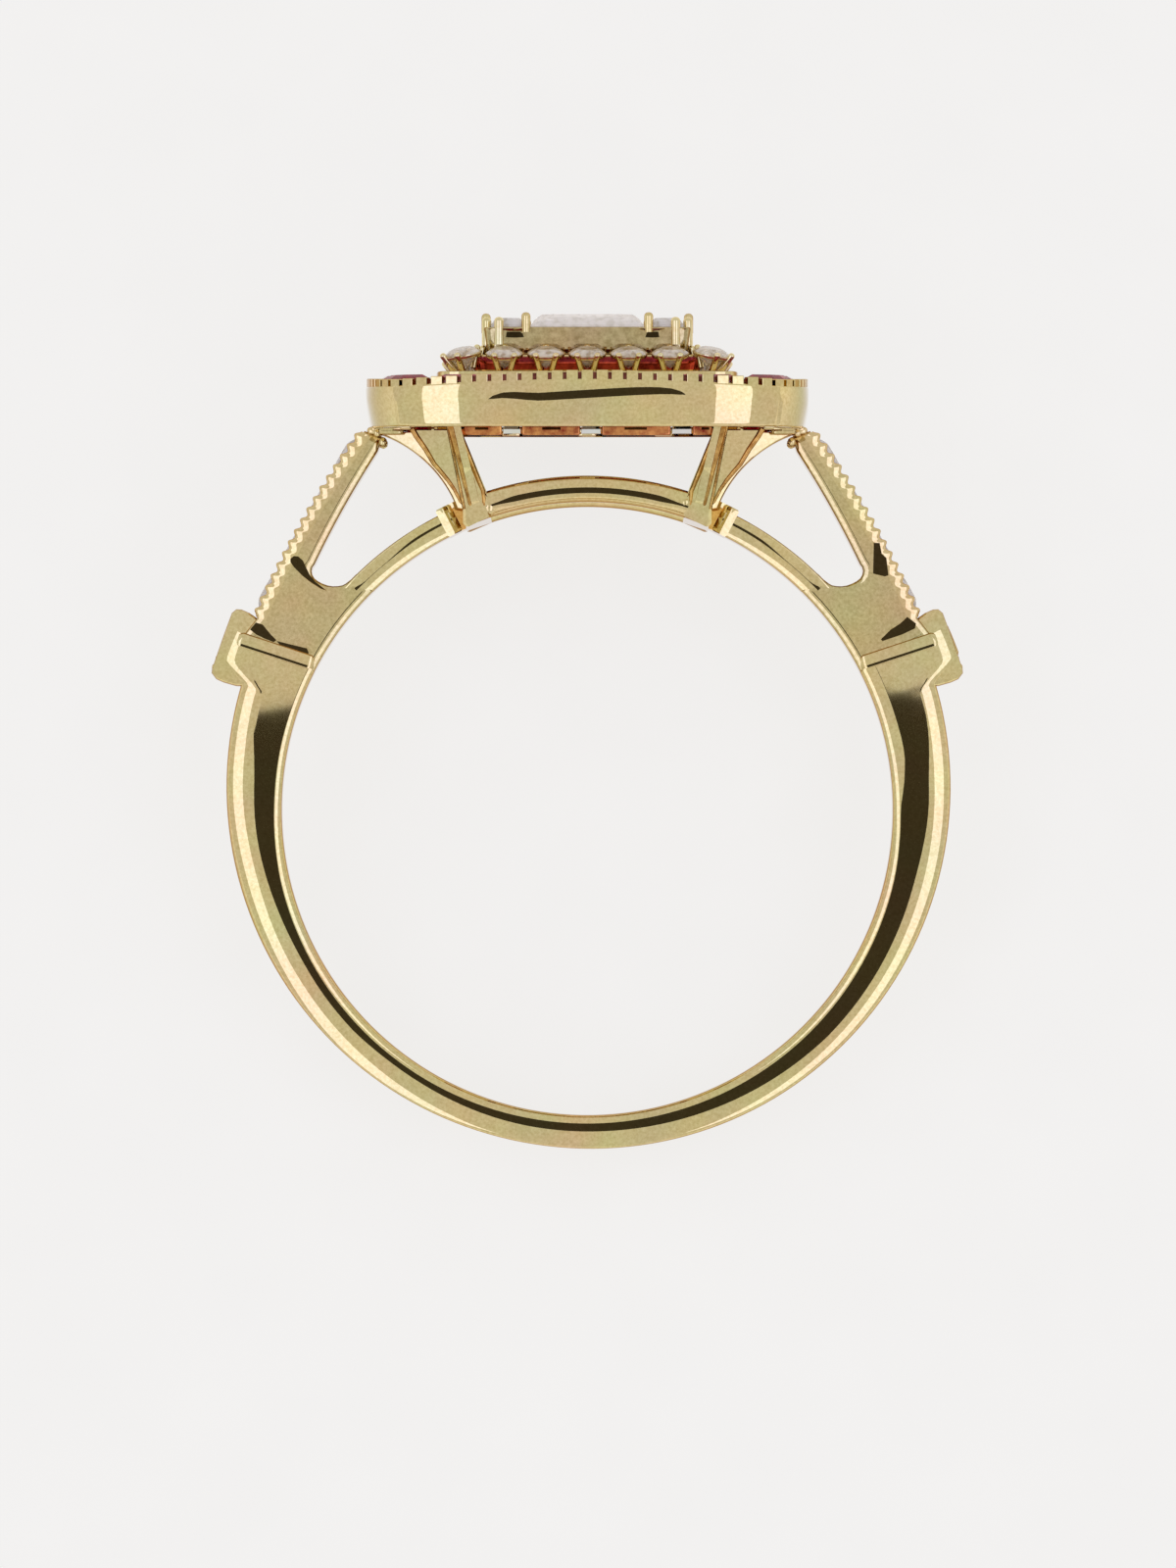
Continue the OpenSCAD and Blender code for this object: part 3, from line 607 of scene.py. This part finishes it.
def leg_loop(z):
    """One level of a corner leg: an angle bar with its ridge at the outer corner and its inner edges
    bevelled."""
    inside = leg_inside(z)
    ridge = leg_ridge(z)
    back = max(ridge - leg_wall, inside + 0.01)
    return [(ridge - 0.04, -ridge, z), (ridge, -ridge + 0.04, z), (ridge, -inside - 0.2, z),
            (ridge - leg_bevel, -inside, z), (back, -inside, z), (back, -back, z), (inside, -back, z),
            (inside, -ridge + leg_bevel, z), (inside + 0.2, -ridge, z)]


def quarter_turn(i):
    """Carries what is made for one side or corner of the head round to the others."""
    return Matrix.Rotation(radians(90 * i), 4, "Z")


lean_web = (Matrix.Translation((0, -web_plane, web_hinge_z)) @ Matrix.Rotation(web_lean, 4, "X")
            @ Matrix.Translation((0, web_plane, -web_hinge_z)))
across_corner = quarter_turn(-1) @ Matrix.Scale(-1, 4, across)
for corner in range(4):
    leg = drawn_through([leg_loop(z) for z in (8.2, 8.7, 8.95, 9.4, 9.9, 10.4, 10.9)])
    web = plate(web_side, web_plane, web_plane + web_t, [(0.02, 0.07), (0.03, 0.03)])
    web.data.transform(lean_web)
    other = mirrored(web, across_corner)
    feet = repeated(bead(foot_r), [Matrix.Translation(at) for at in feet_at], "feet")
    whole = joined_into_one([leg, web, other, feet])
    whole.data.transform(quarter_turn(corner))
    settle(whole, "gallery_leg_%d" % (corner + 1), gold, smooth=28)

# The sharp edges of the legs and webs are drawn as thin wires. They are painted redder, as painted
# reflections of each other.
gold_with_painted_reflections = yellow_gold("gold with painted gold reflections", (0.36, 0.16, 0.035, 1), (0.84, 0.52, 0.16, 1), 4000)
head_way = Vector((0, 0, 1))


def wire_along(path, radii):
    """A wire of eight sides through points, with a radius at each and one of its edges uppermost."""
    loops = []
    for i, point in enumerate(path):
        way = (path[min(i + 1, len(path) - 1)] - path[max(i - 1, 0)]).normalized()
        out = (head_way - way * way.dot(head_way)).normalized()
        over = way.cross(out)
        loops.append([tuple(point + (out * cos(radians(45 * k)) + over * sin(radians(45 * k))) * radii[i])
                      for k in range(8)])
    return drawn_through(loops)


wires = []
edge_path = [lean_web @ Vector((x - 0.05, -web_plane - web_t + 0.03, z)) for x, z in web_edge]
edge_radii = [0.045 + 0.005 * i for i in range(len(web_edge))]
leg_levels = [8.45, 8.95, 9.4, 9.9, 10.4, 10.8]
inner_path = [Vector((leg_inside(z) + 0.09, -leg_ridge(z) + 0.07, z)) for z in leg_levels]
inner_radii = [0.05 + 0.01 * i for i in range(len(leg_levels))]
ridge_path = [Vector((leg_ridge(z) - 0.02, -leg_ridge(z) + 0.02, z)) for z in leg_levels]
ridge_radii = [0.05] * len(leg_levels)
for corner in range(4):
    for path, radii in [(edge_path, edge_radii), (inner_path, inner_radii), (ridge_path, ridge_radii)]:
        for place in (quarter_turn(corner), quarter_turn(corner) @ across_corner):
            wires.append(wire_along([place @ point for point in path], radii))
settle(joined_into_one(wires), "gallery_edges", gold_with_painted_reflections, smooth=60)

# Ruby frame
# A cushion-shaped channel of gold holds the calibre rubies. Its wall leans out a little, its rim is cut
# into milgrain, and its floor is sawn open under each stone to let the light through.
frame_half = 6.27
frame_r = 2.58
frame_z = 10.71
rim_z = 11.86
bead_top_z = 12.05
floor_z = 11.14
side_bow = 1 / 120
quarter_steps = 44
wall_crown = 0.17
bead_crown = 0.24
lens_half = 2.75
lens_h = 0.33
channel_half = 5.94
ledge_half = 5.52


def cushion_point(half, r, k):
    """One of the points round a square with round corners and slightly bowed sides, closer together at
    the corners."""
    share = k % quarter_steps / quarter_steps * 2 - 1
    a = radians(90 * (k // quarter_steps) + 45 + 45 * share * abs(share) ** 0.6)
    n = 1 / (0.5 - log2(((half - r) * sqrt(2) + r) / half))
    reach = half / (abs(cos(a)) ** n + abs(sin(a)) ** n) ** (1 / n)
    x, y = reach * cos(a), reach * sin(a)
    bowed = 1 - side_bow * (x * y) ** 2 / (2 * half ** 3)
    return x * bowed, y * bowed


def place_along_side(k, half=frame_half, r=frame_r):
    """How far a point of the cushion is from the middle of its side, to the right as seen from outside."""
    x, y = cushion_point(half, r, k)
    if abs(y) > abs(x):
        return x if y < 0 else -x
    return y if x > 0 else -y


def rim_rise(k):
    """The rim is highest at the middle of its front and back, and a little high in the middle of its
    sides."""
    x, y = cushion_point(frame_half, frame_r, k)
    crown = 1.0 if abs(y) > abs(x) else 0.5
    return crown * (1 - min(abs(place_along_side(k)) / 5.3, 1.0) ** 1.6)


def cushion_ring(profile):
    """A closed ring with a cushion-shaped plan. The profile gives its (half width, height) points at one
    of the places round it."""
    columns = []
    for k in range(4 * quarter_steps):
        columns.append([cushion_point(half, max(frame_r - (frame_half - half), 0.3), k) + (z,)
                        for half, z in profile(k)])
    return drawn_through([list(row) for row in zip(*columns)], joined=True)


def frame_profile(k):
    """The wall mirrors the camera in one long lens-shaped patch in the middle of each side."""
    s = max(min(place_along_side(k), lens_half), -lens_half)
    height = rim_z + wall_crown * rim_rise(k) - frame_z
    lens = lens_h * sqrt(1 - (s / lens_half) ** 4) + 0.02
    middle = 0.68 + 0.06 * s + 0.2 * gently((-s - 1.2) / 1.5)
    wall = face_of([(0, -80), (0.06, -35), (0.10, -12), (middle - 0.08, -9.5), (middle, -5.2),
                    (middle + lens, -0.7), (height - 0.06, 3), (height, 60)], frame_half, steps=3)
    rim = frame_z + height
    return ([(ledge_half, frame_z), (wall[0][1] - 0.06, frame_z)] + [(y, frame_z + d) for d, y in wall]
            + [(6.12, rim + 0.02), (6.0, rim + 0.02), (channel_half + 0.01, rim - 0.02),
               (channel_half, rim - 0.12), (channel_half, floor_z + 0.02), (channel_half - 0.02, floor_z),
               (ledge_half, floor_z)])


# The frame's gold is painted paler, not brown, where it is seen at a low angle: a lighter painted shade.
frame_gold = yellow_gold("gold of the frame", (0.74, 0.580, 0.262, 1), (0.97, 0.800, 0.425, 1),
                         turned=(0.80, 0.77, 0.69, 1), rim=(0.9, 0.87, 0.8, 1))
settle(cushion_ring(frame_profile), "frame_wall", frame_gold)


# Behind the milgrain a low inner rim is painted dark red, a painted shade and reflection of the rubies that
# it mirrors.
def inner_rim_profile(k):
    top = bead_top_z - 0.05 + bead_crown * rim_rise(k)
    return [(5.955, rim_z - 0.15), (6.0, rim_z - 0.15), (6.0, top), (5.955, top)]


gold_with_painted_ruby_shade = yellow_gold("gold with painted ruby shade", (0.08, 0.02, 0.015, 1),
                            (0.34, 0.10, 0.07, 1), 3000)
settle(cushion_ring(inner_rim_profile), "frame_inner_rim", gold_with_painted_ruby_shade, smooth=25)

# What is left of the floor is a bar under each joint between two rubies and a wider one near each corner.
floor_bars = [(-4.6, 1.0, 0.8), (-2.18, 0.5, 1.2), (0, 0.5, 1.2), (2.18, 0.5, 1.2), (4.6, 1.0, 0.8)]
floor_bars_y = 4.92
floor_t = floor_z - frame_z - 0.02
bars = []
for quarter in range(4):
    for x, w, across_floor in floor_bars:
        bars.append(block((x, floor_bars_y, (frame_z + floor_z) / 2), (w, across_floor, floor_t), 0.04, 2,
                          quarter_turn(quarter)))
settle(joined_into_one(bars), "frame_floor_bars", gold, smooth=30)

# Thin strips line the windows on the sides of the head. They are painted red, as painted light that the
# rubies pass.
window_y = -4.4
window_top_z = 11.0
window_strip_t = 0.2
windows = [(-3.59, -2.40), (-1.84, -0.20), (0.41, 2.35), (2.96, 3.71)]
window_low_z = 10.84
front_window_low_z = 10.50


def row_of_strips(spans, front_low_z, low_z, edge, steps):
    """A strip for each span from left to right, on all four sides. Those of the front reach lower."""
    strips = []
    for quarter in range(4):
        bottom = low_z if quarter else front_low_z
        for left, right in spans:
            strips.append(block(((left + right) / 2, window_y, (bottom + window_top_z) / 2),
                                (right - left, window_strip_t, window_top_z - bottom), edge, steps,
                                quarter_turn(quarter)))
    return joined_into_one(strips)


gold_with_painted_ruby_light = yellow_gold("gold with painted ruby light", (0.30, 0.03, 0.02, 1), (1.0, 0.48, 0.16, 1), 2600)
window_strips = row_of_strips(windows, front_window_low_z, window_low_z, 0.05, 3)
settle(window_strips, "window_strips", gold_with_painted_ruby_light, smooth=40)

# The bars between the windows are painted nearly white, as painted light of the sheet.
window_gaps = [(-2.37, -1.87), (-0.17, 0.38), (2.38, 2.93)]
gold_painted_pale = yellow_gold("gold painted as bright as the sheet", (0.96, 0.94, 0.86, 1), (1.0, 1.0, 0.96, 1), 2600,
                        turned=(1.0, 1.0, 0.95, 1), rim=(1.0, 0.98, 0.92, 1))
window_bars = row_of_strips(window_gaps, front_window_low_z + 0.04, window_low_z + 0.02, 0.03, 2)
settle(window_bars, "window_bars", gold_painted_pale, smooth=10)

# The milgrain of the rim: a line of small blocks of gold with a notch between each two.
grain_size = (0.3256, 0.289, 0.36)
grain_pitch = 0.42
grain_line_half = 6.1
grain_line_r = frame_r - (frame_half - grain_line_half)
rim_points = [Vector(cushion_point(grain_line_half, grain_line_r, k) + (0,))
              for k in range(4 * quarter_steps)]
rim_length = [0.0]
for i, point in enumerate(rim_points):
    rim_length.append(rim_length[-1] + (rim_points[(i + 1) % len(rim_points)] - point).length)
grain_count = round(rim_length[-1] / grain_pitch)
grains = []
k = 0
for i in range(grain_count):
    want = rim_length[-1] * i / grain_count
    while rim_length[k + 1] < want:
        k += 1
    share = (want - rim_length[k]) / (rim_length[k + 1] - rim_length[k])
    ahead = rim_points[(k + 1) % len(rim_points)]
    at = rim_points[k].lerp(ahead, share)
    way = ahead - rim_points[k]
    grains.append(Matrix.Translation((at.x, at.y, bead_top_z - grain_size[2] / 2 + bead_crown * rim_rise(k)))
                  @ Matrix.Rotation(atan2(way.y, way.x), 4, "Z"))
grain = block((0, 0, 0), grain_size, 0.02, 2)
settle(repeated(grain, grains, "grains"), "frame_milgrain", gold, smooth=15)

# Rubies
# Sixteen straight rubies and four at the corners, cut to fit the channel side by side, with step-cut
# sides and a flat table. They are a little different in depth of red, as natural stones are.
def red_ruby():
    finish = bpy.data.materials.new("calibre ruby")
    finish.use_nodes = True
    tree = finish.node_tree
    stone = tree.nodes["Principled BSDF"]
    stone.inputs["IOR"].default_value = 1.77
    stone.inputs["Specular IOR Level"].default_value = 0.25
    stone.inputs["Roughness"].default_value = 0.03
    stone.inputs["Transmission Weight"].default_value = 0.7
    reds = tones(tree, speckle(tree, 420, 4).outputs["Fac"],
                 (0.3, (0.42, 0.006, 0.025, 1)), (0.7, (0.8, 0.02, 0.07, 1)))
    tree.links.new(reds.outputs["Color"], stone.inputs["Base Color"])
    return finish


ruby = red_ruby()


def dress(node, finish):
    """Gives a packed stone its finish. Its facets stay flat, as they are cut."""
    stone = frame["nodes"][node]
    stone.data.materials.clear()
    stone.data.materials.append(finish)


for i in range(16):
    dress("ruby_%d" % (i + 1), ruby)
for i in range(4):
    dress("corner_ruby_%d" % (i + 1), ruby)

# Tray of the halo
# The diamonds of the halo sit in a raised gold tray inside the ruby channel. A low rail runs round its
# foot, and the wall behind it leans out, so that it mirrors the rubies between the stones' prongs.
halo_half = 3.5
halo_girdle_z = 12.83
halo_lean = radians(14)
halo_stone_r = 0.515
halo_prong_r = 0.09
halo_prong_low = -0.55
halo_prong_high = 0.13
halo_prong_lean = radians(-28)
halo_prongs_at = (-29, 29, 180)


def tray_profile(k):
    return [(3.98, 11.2), (4.26, 11.2), (4.28, 11.22), (4.28, 12.29), (4.265, 12.31), (4.22, 12.32),
            (4.19, 12.28), (3.20, 12.28), (3.235, 12.50), (3.28, 12.76), (3.27, 12.79), (3.24, 12.80),
            (2.7, 12.86), (2.3, 12.86), (2.3, 12.11), (3.98, 12.11)]


settle(cushion_ring(tray_profile), "halo_tray", gold, smooth=25)


# The foot of the wall is painted all red, a painted reflection of the rubies that it mirrors.
def red_wall_profile(k):
    return [(3.10, 12.38), (3.23, 12.38), (3.285, 12.73), (3.10, 12.73)]


gold_with_painted_ruby_red = yellow_gold("gold with painted ruby reflections", (0.14, 0.015, 0.02, 1), (0.85, 0.15, 0.15, 1), 3000)
settle(cushion_ring(red_wall_profile), "halo_wall_foot", gold_with_painted_ruby_red, smooth=25)


def halo_place(side, along):
    """The place of one stone of the halo, leaning outwards; the corner ones lean along the diagonal."""
    corner = abs(along) > halo_half - 0.01
    return (quarter_turn(side) @ Matrix.Translation((along, halo_half, halo_girdle_z))
            @ Matrix.Rotation(radians(-45) if corner else 0, 4, "Z")
            @ Matrix.Rotation(-halo_lean, 4, "X"))


halo_places = [halo_place(side, i * halo_half / 3) for side in range(4) for i in range(-2, 4)]


def turned_ring(profile, around=16):
    """A ring turned from a closed profile of (radius, height) points."""
    turns = [2 * pi * k / around for k in range(around)]
    return drawn_through([[(r * cos(a), r * sin(a), z) for a in turns] for r, z in profile], joined=True)


# The prongs and seats are painted lighter than the rest of the gold, a painted highlight, and pale rather
# than brown at a low angle.
gold_painted_light = yellow_gold("gold of the prongs, painted lighter", (0.86, 0.68, 0.34, 1), (1.0, 0.88, 0.56, 1), 4000,
                          turned=(1.0, 0.92, 0.75, 1), rim=(1.0, 0.94, 0.8, 1))
seat = turned_ring([(0.47, -0.10), (0.52, -0.09), (0.545, -0.03), (0.54, 0.0), (0.52, -0.01)])
settle(repeated(seat, halo_places, "seats"), "halo_seats", gold_painted_light, smooth=40)


def claw(r, low, high):
    """A wire prong with its tip pushed over to a round."""
    clear_selection()
    bpy.ops.mesh.primitive_cylinder_add(vertices=14, radius=r, depth=high - low)
    wire = bpy.context.object
    wire.data.transform(Matrix.Translation((0, 0, (high + low) / 2)))
    bpy.ops.object.mode_set(mode="EDIT")
    bpy.ops.mesh.select_mode(type="FACE")
    bpy.ops.mesh.select_all(action="DESELECT")
    bpy.ops.object.mode_set(mode="OBJECT")
    for face in wire.data.polygons:
        face.select = face.normal.z > 0.9
    bpy.ops.object.mode_set(mode="EDIT")
    bpy.ops.mesh.bevel(offset=r * 0.85, segments=3, affect="EDGES")
    bpy.ops.object.mode_set(mode="OBJECT")
    return wire


claws = []
for place in halo_places:
    for a in halo_prongs_at:
        claws.append(place @ Matrix.Rotation(radians(a), 4, "Z")
                     @ Matrix.Translation((0, halo_stone_r + 0.05, 0))
                     @ Matrix.Rotation(halo_prong_lean, 4, "X"))
halo_prongs = repeated(claw(halo_prong_r, halo_prong_low, halo_prong_high), claws, "claws")
settle(halo_prongs, "halo_prongs", gold_painted_light, smooth=50)

# Diamonds of the halo
# Twenty-four small round brilliants, bright and nearly colourless, held in the tray by three prongs each.
# They are painted a little warmer than the ring's other diamonds, a painted reflection of the gold that
# shows through them.
# A diamond's colour is painted: noise gives it painted glints of light and dark, it is painted darker where
# it is seen at a low angle, and a faint emission gives it a painted glow.
def white_diamond(name, deep, bright, grain, glow=0.04):
    finish = bpy.data.materials.new(name)
    finish.use_nodes = True
    tree = finish.node_tree
    stone = tree.nodes["Principled BSDF"]
    stone.inputs["IOR"].default_value = 2.2
    stone.inputs["Transmission Weight"].default_value = 0.5
    fire = speckle(tree, grain)
    glints = tones(tree, fire.outputs["Fac"], (0.35, deep), (0.65, bright))
    middle = glints.color_ramp.elements.new(0.5)
    middle.color = [0.25 * d + 0.75 * b for d, b in zip(deep, bright)]
    rim = tones(tree, low_angle(tree).outputs["Facing"], (0.55, white), (0.95, (0.62, 0.52, 0.46, 1)))
    shaded = multiplied(tree, glints.outputs["Color"], rim.outputs["Color"])
    tree.links.new(shaded.outputs["Result"], stone.inputs["Base Color"])
    tree.links.new(shaded.outputs["Result"], stone.inputs["Emission Color"])
    stone.inputs["Emission Strength"].default_value = glow
    haze = tree.nodes.new("ShaderNodeMapRange")
    haze.inputs["To Min"].default_value = 0.01
    haze.inputs["To Max"].default_value = 0.06
    tree.links.new(fire.outputs["Fac"], haze.inputs["Value"])
    tree.links.new(haze.outputs["Result"], stone.inputs["Roughness"])
    return finish


diamond = white_diamond("cut diamond", (0.58, 0.50, 0.40, 1), (0.98, 0.93, 0.92, 1), 4200)
diamond_with_painted_gold = white_diamond("cut diamond with painted gold reflections", (0.50, 0.36, 0.20, 1), (0.98, 0.88, 0.74, 1), 5200)
dress("halo_diamonds", diamond_with_painted_gold)

# Cup of the cluster
# The cluster is raised on a square gold cup with nearly upright sides. Its stones stand close together and
# are held by two round prongs at each corner and a taller one at each end of a baguette.
cup_half = 2.93
cup_corner_r = 0.3
girdle_z = 13.62
corner_prong_r = 0.135
corner_prong_low = 13.1
corner_prong_high = girdle_z + 0.26
corner_prong_at = (2.49, 2.84)
joint_prong_r = 0.13
joint_prong_low = 13.45
joint_prong_high = girdle_z + 0.39
joint_prong_at = (1.73, 2.86)


def cup_profile(k):
    """The wall leans out, but for short steep flats beside two of the prongs, which mirror the camera."""
    s = place_along_side(k, cup_half, cup_corner_r)
    lean = 0.4 if -2.35 < s < -1.75 or 1.6 < s < 2.0 else 1.0
    return [(2.84, 12.7), (2.865, 12.85), (2.885, 13.0), (2.91, 13.2), (2.92, 13.29),
            (2.92 + 0.002 * lean, 13.31), (2.92 + 0.0185 * lean, 13.46), (2.92 + 0.0205 * lean, 13.475),
            (2.955, 13.55), (2.93, 13.59), (2.88, 13.6), (2.79, 13.59), (2.3, 13.3), (1.28, 12.95),
            (1.26, 12.2), (2.4, 12.15)]


# The cup's gold is painted darker than the rest, a painted reflection of the darker halo stones.
cup_gold_painted_dark = yellow_gold("gold of the cup, painted darker", (0.44, 0.33, 0.15, 1), (0.74, 0.60, 0.33, 1), 5000)
settle(cushion_ring(cup_profile), "cluster_cup", cup_gold_painted_dark, smooth=20)


def on_each_side(at):
    """The places of two prongs on each side of the cup, from the one that is given for its back."""
    return [quarter_turn(quarter) @ Matrix.Translation((s * at[0], at[1], 0))
            for quarter in range(4) for s in (-1, 1)]


corner_prong = claw(corner_prong_r, corner_prong_low, corner_prong_high)
corner_prongs = repeated(corner_prong, on_each_side(corner_prong_at), "claws")
settle(corner_prongs, "corner_prongs", gold_painted_light, smooth=50)
joint_prong = claw(joint_prong_r, joint_prong_low, joint_prong_high)
joint_prongs = repeated(joint_prong, on_each_side(joint_prong_at), "claws")
settle(joint_prongs, "joint_prongs", gold, smooth=50)

# Stones of the cluster, the arms and the collets
# A square step-cut diamond in the middle, a baguette along each side and a small square at each corner.
# Round brilliants fill the outer arms and the box collets.
# The step-cut stones are painted paler, with twice the painted glow.
clear_diamond = white_diamond("step cut diamond", (0.80, 0.74, 0.68, 1), (1.0, 0.95, 0.92, 1), 5200,
                              glow=0.08)
dress("centre_stone", clear_diamond)
for i in range(4):
    dress("side_baguette_%d" % (i + 1), clear_diamond)
    dress("corner_stone_%d" % (i + 1), diamond)
for node in ("arm_diamonds_left", "arm_diamonds_right", "collet_stone_left", "collet_stone_right"):
    dress(node, diamond)

# Studio
# The ring lies on a plain pale sheet lit from below. Two tall soft boxes stand left and right of the camera,
# the room is a light grey, and the camera's own dark body shows in the faces that look straight at it.
sheet_w = 3.0


def sheet_paper():
    finish = bpy.data.materials.new("pale sheet")
    finish.use_nodes = True
    tree = finish.node_tree
    paper = tree.nodes["Principled BSDF"]
    paper.inputs["Roughness"].default_value = 0.9
    paper.inputs["Specular IOR Level"].default_value = 0.1
    paper.inputs["Base Color"].default_value = (0.10, 0.099, 0.097, 1)
    shade = tones(tree, speckle(tree, 300).outputs["Fac"],
                  (0.0, (0.79, 0.78, 0.765, 1)), (1.0, (0.81, 0.80, 0.785, 1)))
    tree.links.new(shade.outputs["Color"], paper.inputs["Emission Color"])
    paper.inputs["Emission Strength"].default_value = 1.0
    return finish


clear_selection()
bpy.ops.mesh.primitive_plane_add(size=sheet_w, location=(0, 0, 0))
floor = bpy.context.object
floor.name = "floor"
floor.data.materials.append(sheet_paper())

camera_d = 530.0
soft_box_d = 620.0
soft_box_polar = radians(28.5)
soft_box_lift = -170.0
soft_box_w = 0.29
soft_box_h = 0.9
soft_box_power = 0.587
soft_box_colour = (0.96, 1.0, 1.60)
for side, turn in [("left", -1), ("right", 1)]:
    clear_selection()
    light = bpy.data.lights.new("soft_box_" + side, "AREA")
    light.shape = "RECTANGLE"
    light.size = soft_box_w
    light.size_y = soft_box_h
    light.energy = soft_box_power
    light.color = soft_box_colour
    lamp = bpy.data.objects.new("soft_box_" + side, light)
    bpy.context.collection.objects.link(lamp)
    where = lay @ Vector((turn * soft_box_d * sin(soft_box_polar), -soft_box_d * cos(soft_box_polar),
                          soft_box_lift))
    aim = lay @ Vector((0, 0, soft_box_lift))
    back = (where - aim).normalized()
    up = (lay.to_3x3() @ head_way).normalized()
    side_way = up.cross(back).normalized()
    facing = Matrix((side_way, back.cross(side_way), back)).transposed()
    lamp.matrix_world = Matrix.Translation(where) @ facing.to_4x4()
    lamp.visible_camera = False

dark_card_half_w = 48.0
dark_card_low = -44.0
dark_card_high = 9.7
dark_card_slope = 0.024


def black_body():
    finish = bpy.data.materials.new("camera body")
    finish.use_nodes = True
    tree = finish.node_tree
    tree.nodes.remove(tree.nodes["Principled BSDF"])
    glow = tree.nodes.new("ShaderNodeEmission")
    glow.inputs["Color"].default_value = (0.052, 0.044, 0.032, 1)
    glow.inputs["Strength"].default_value = 1.0
    tree.links.new(glow.outputs["Emission"], tree.nodes["Material Output"].inputs["Surface"])
    return finish


clear_selection()
bpy.ops.mesh.primitive_grid_add(x_subdivisions=1, y_subdivisions=1, size=1)
card = bpy.context.object
card.name = "camera_body"
for vertex, (x, z) in zip(card.data.vertices, [(-1, 0), (1, 0), (-1, 1), (1, 1)]):
    top = dark_card_high + dark_card_slope * x * dark_card_half_w
    vertex.co = lay @ Vector((x * dark_card_half_w, -camera_d, top if z else dark_card_low))
card.data.materials.append(black_body())
card.visible_camera = False
card.visible_shadow = False
card.visible_diffuse = False
card.visible_transmission = False

room = bpy.data.worlds.new("grey studio")
bpy.context.scene.world = room
room.use_nodes = True
backdrop = room.node_tree.nodes["Background"]
backdrop.inputs["Color"].default_value = (0.72, 0.715, 0.70, 1)
backdrop.inputs["Strength"].default_value = 1.0

# The camera looks along the finger. A millimetre at the ring is 36 pixels of a picture 1600 pixels high.
sensor_w = 36
photo_h = 1600
photo_scale = 36
camera_look_up = radians(0.45)
aim = Vector((0.02, 0, 0.73))
camera = bpy.data.objects.new("camera", bpy.data.cameras.new("camera"))
bpy.context.collection.objects.link(camera)
camera.data.lens = sensor_w * camera_d * photo_scale / photo_h
camera.data.clip_start = 0.05
camera.data.clip_end = 5.0
stand = aim + Vector((0, -camera_d * cos(camera_look_up), -camera_d * sin(camera_look_up)))
back = (stand - aim).normalized()
facing = Matrix((across, back.cross(across), back)).transposed()
camera.matrix_world = (Matrix.Translation(lay @ stand)
                       @ (lay.to_3x3() @ Matrix.Scale(1000, 3) @ facing).to_4x4())
bpy.context.scene.camera = camera
bpy.context.scene.view_settings.view_transform = "Standard"
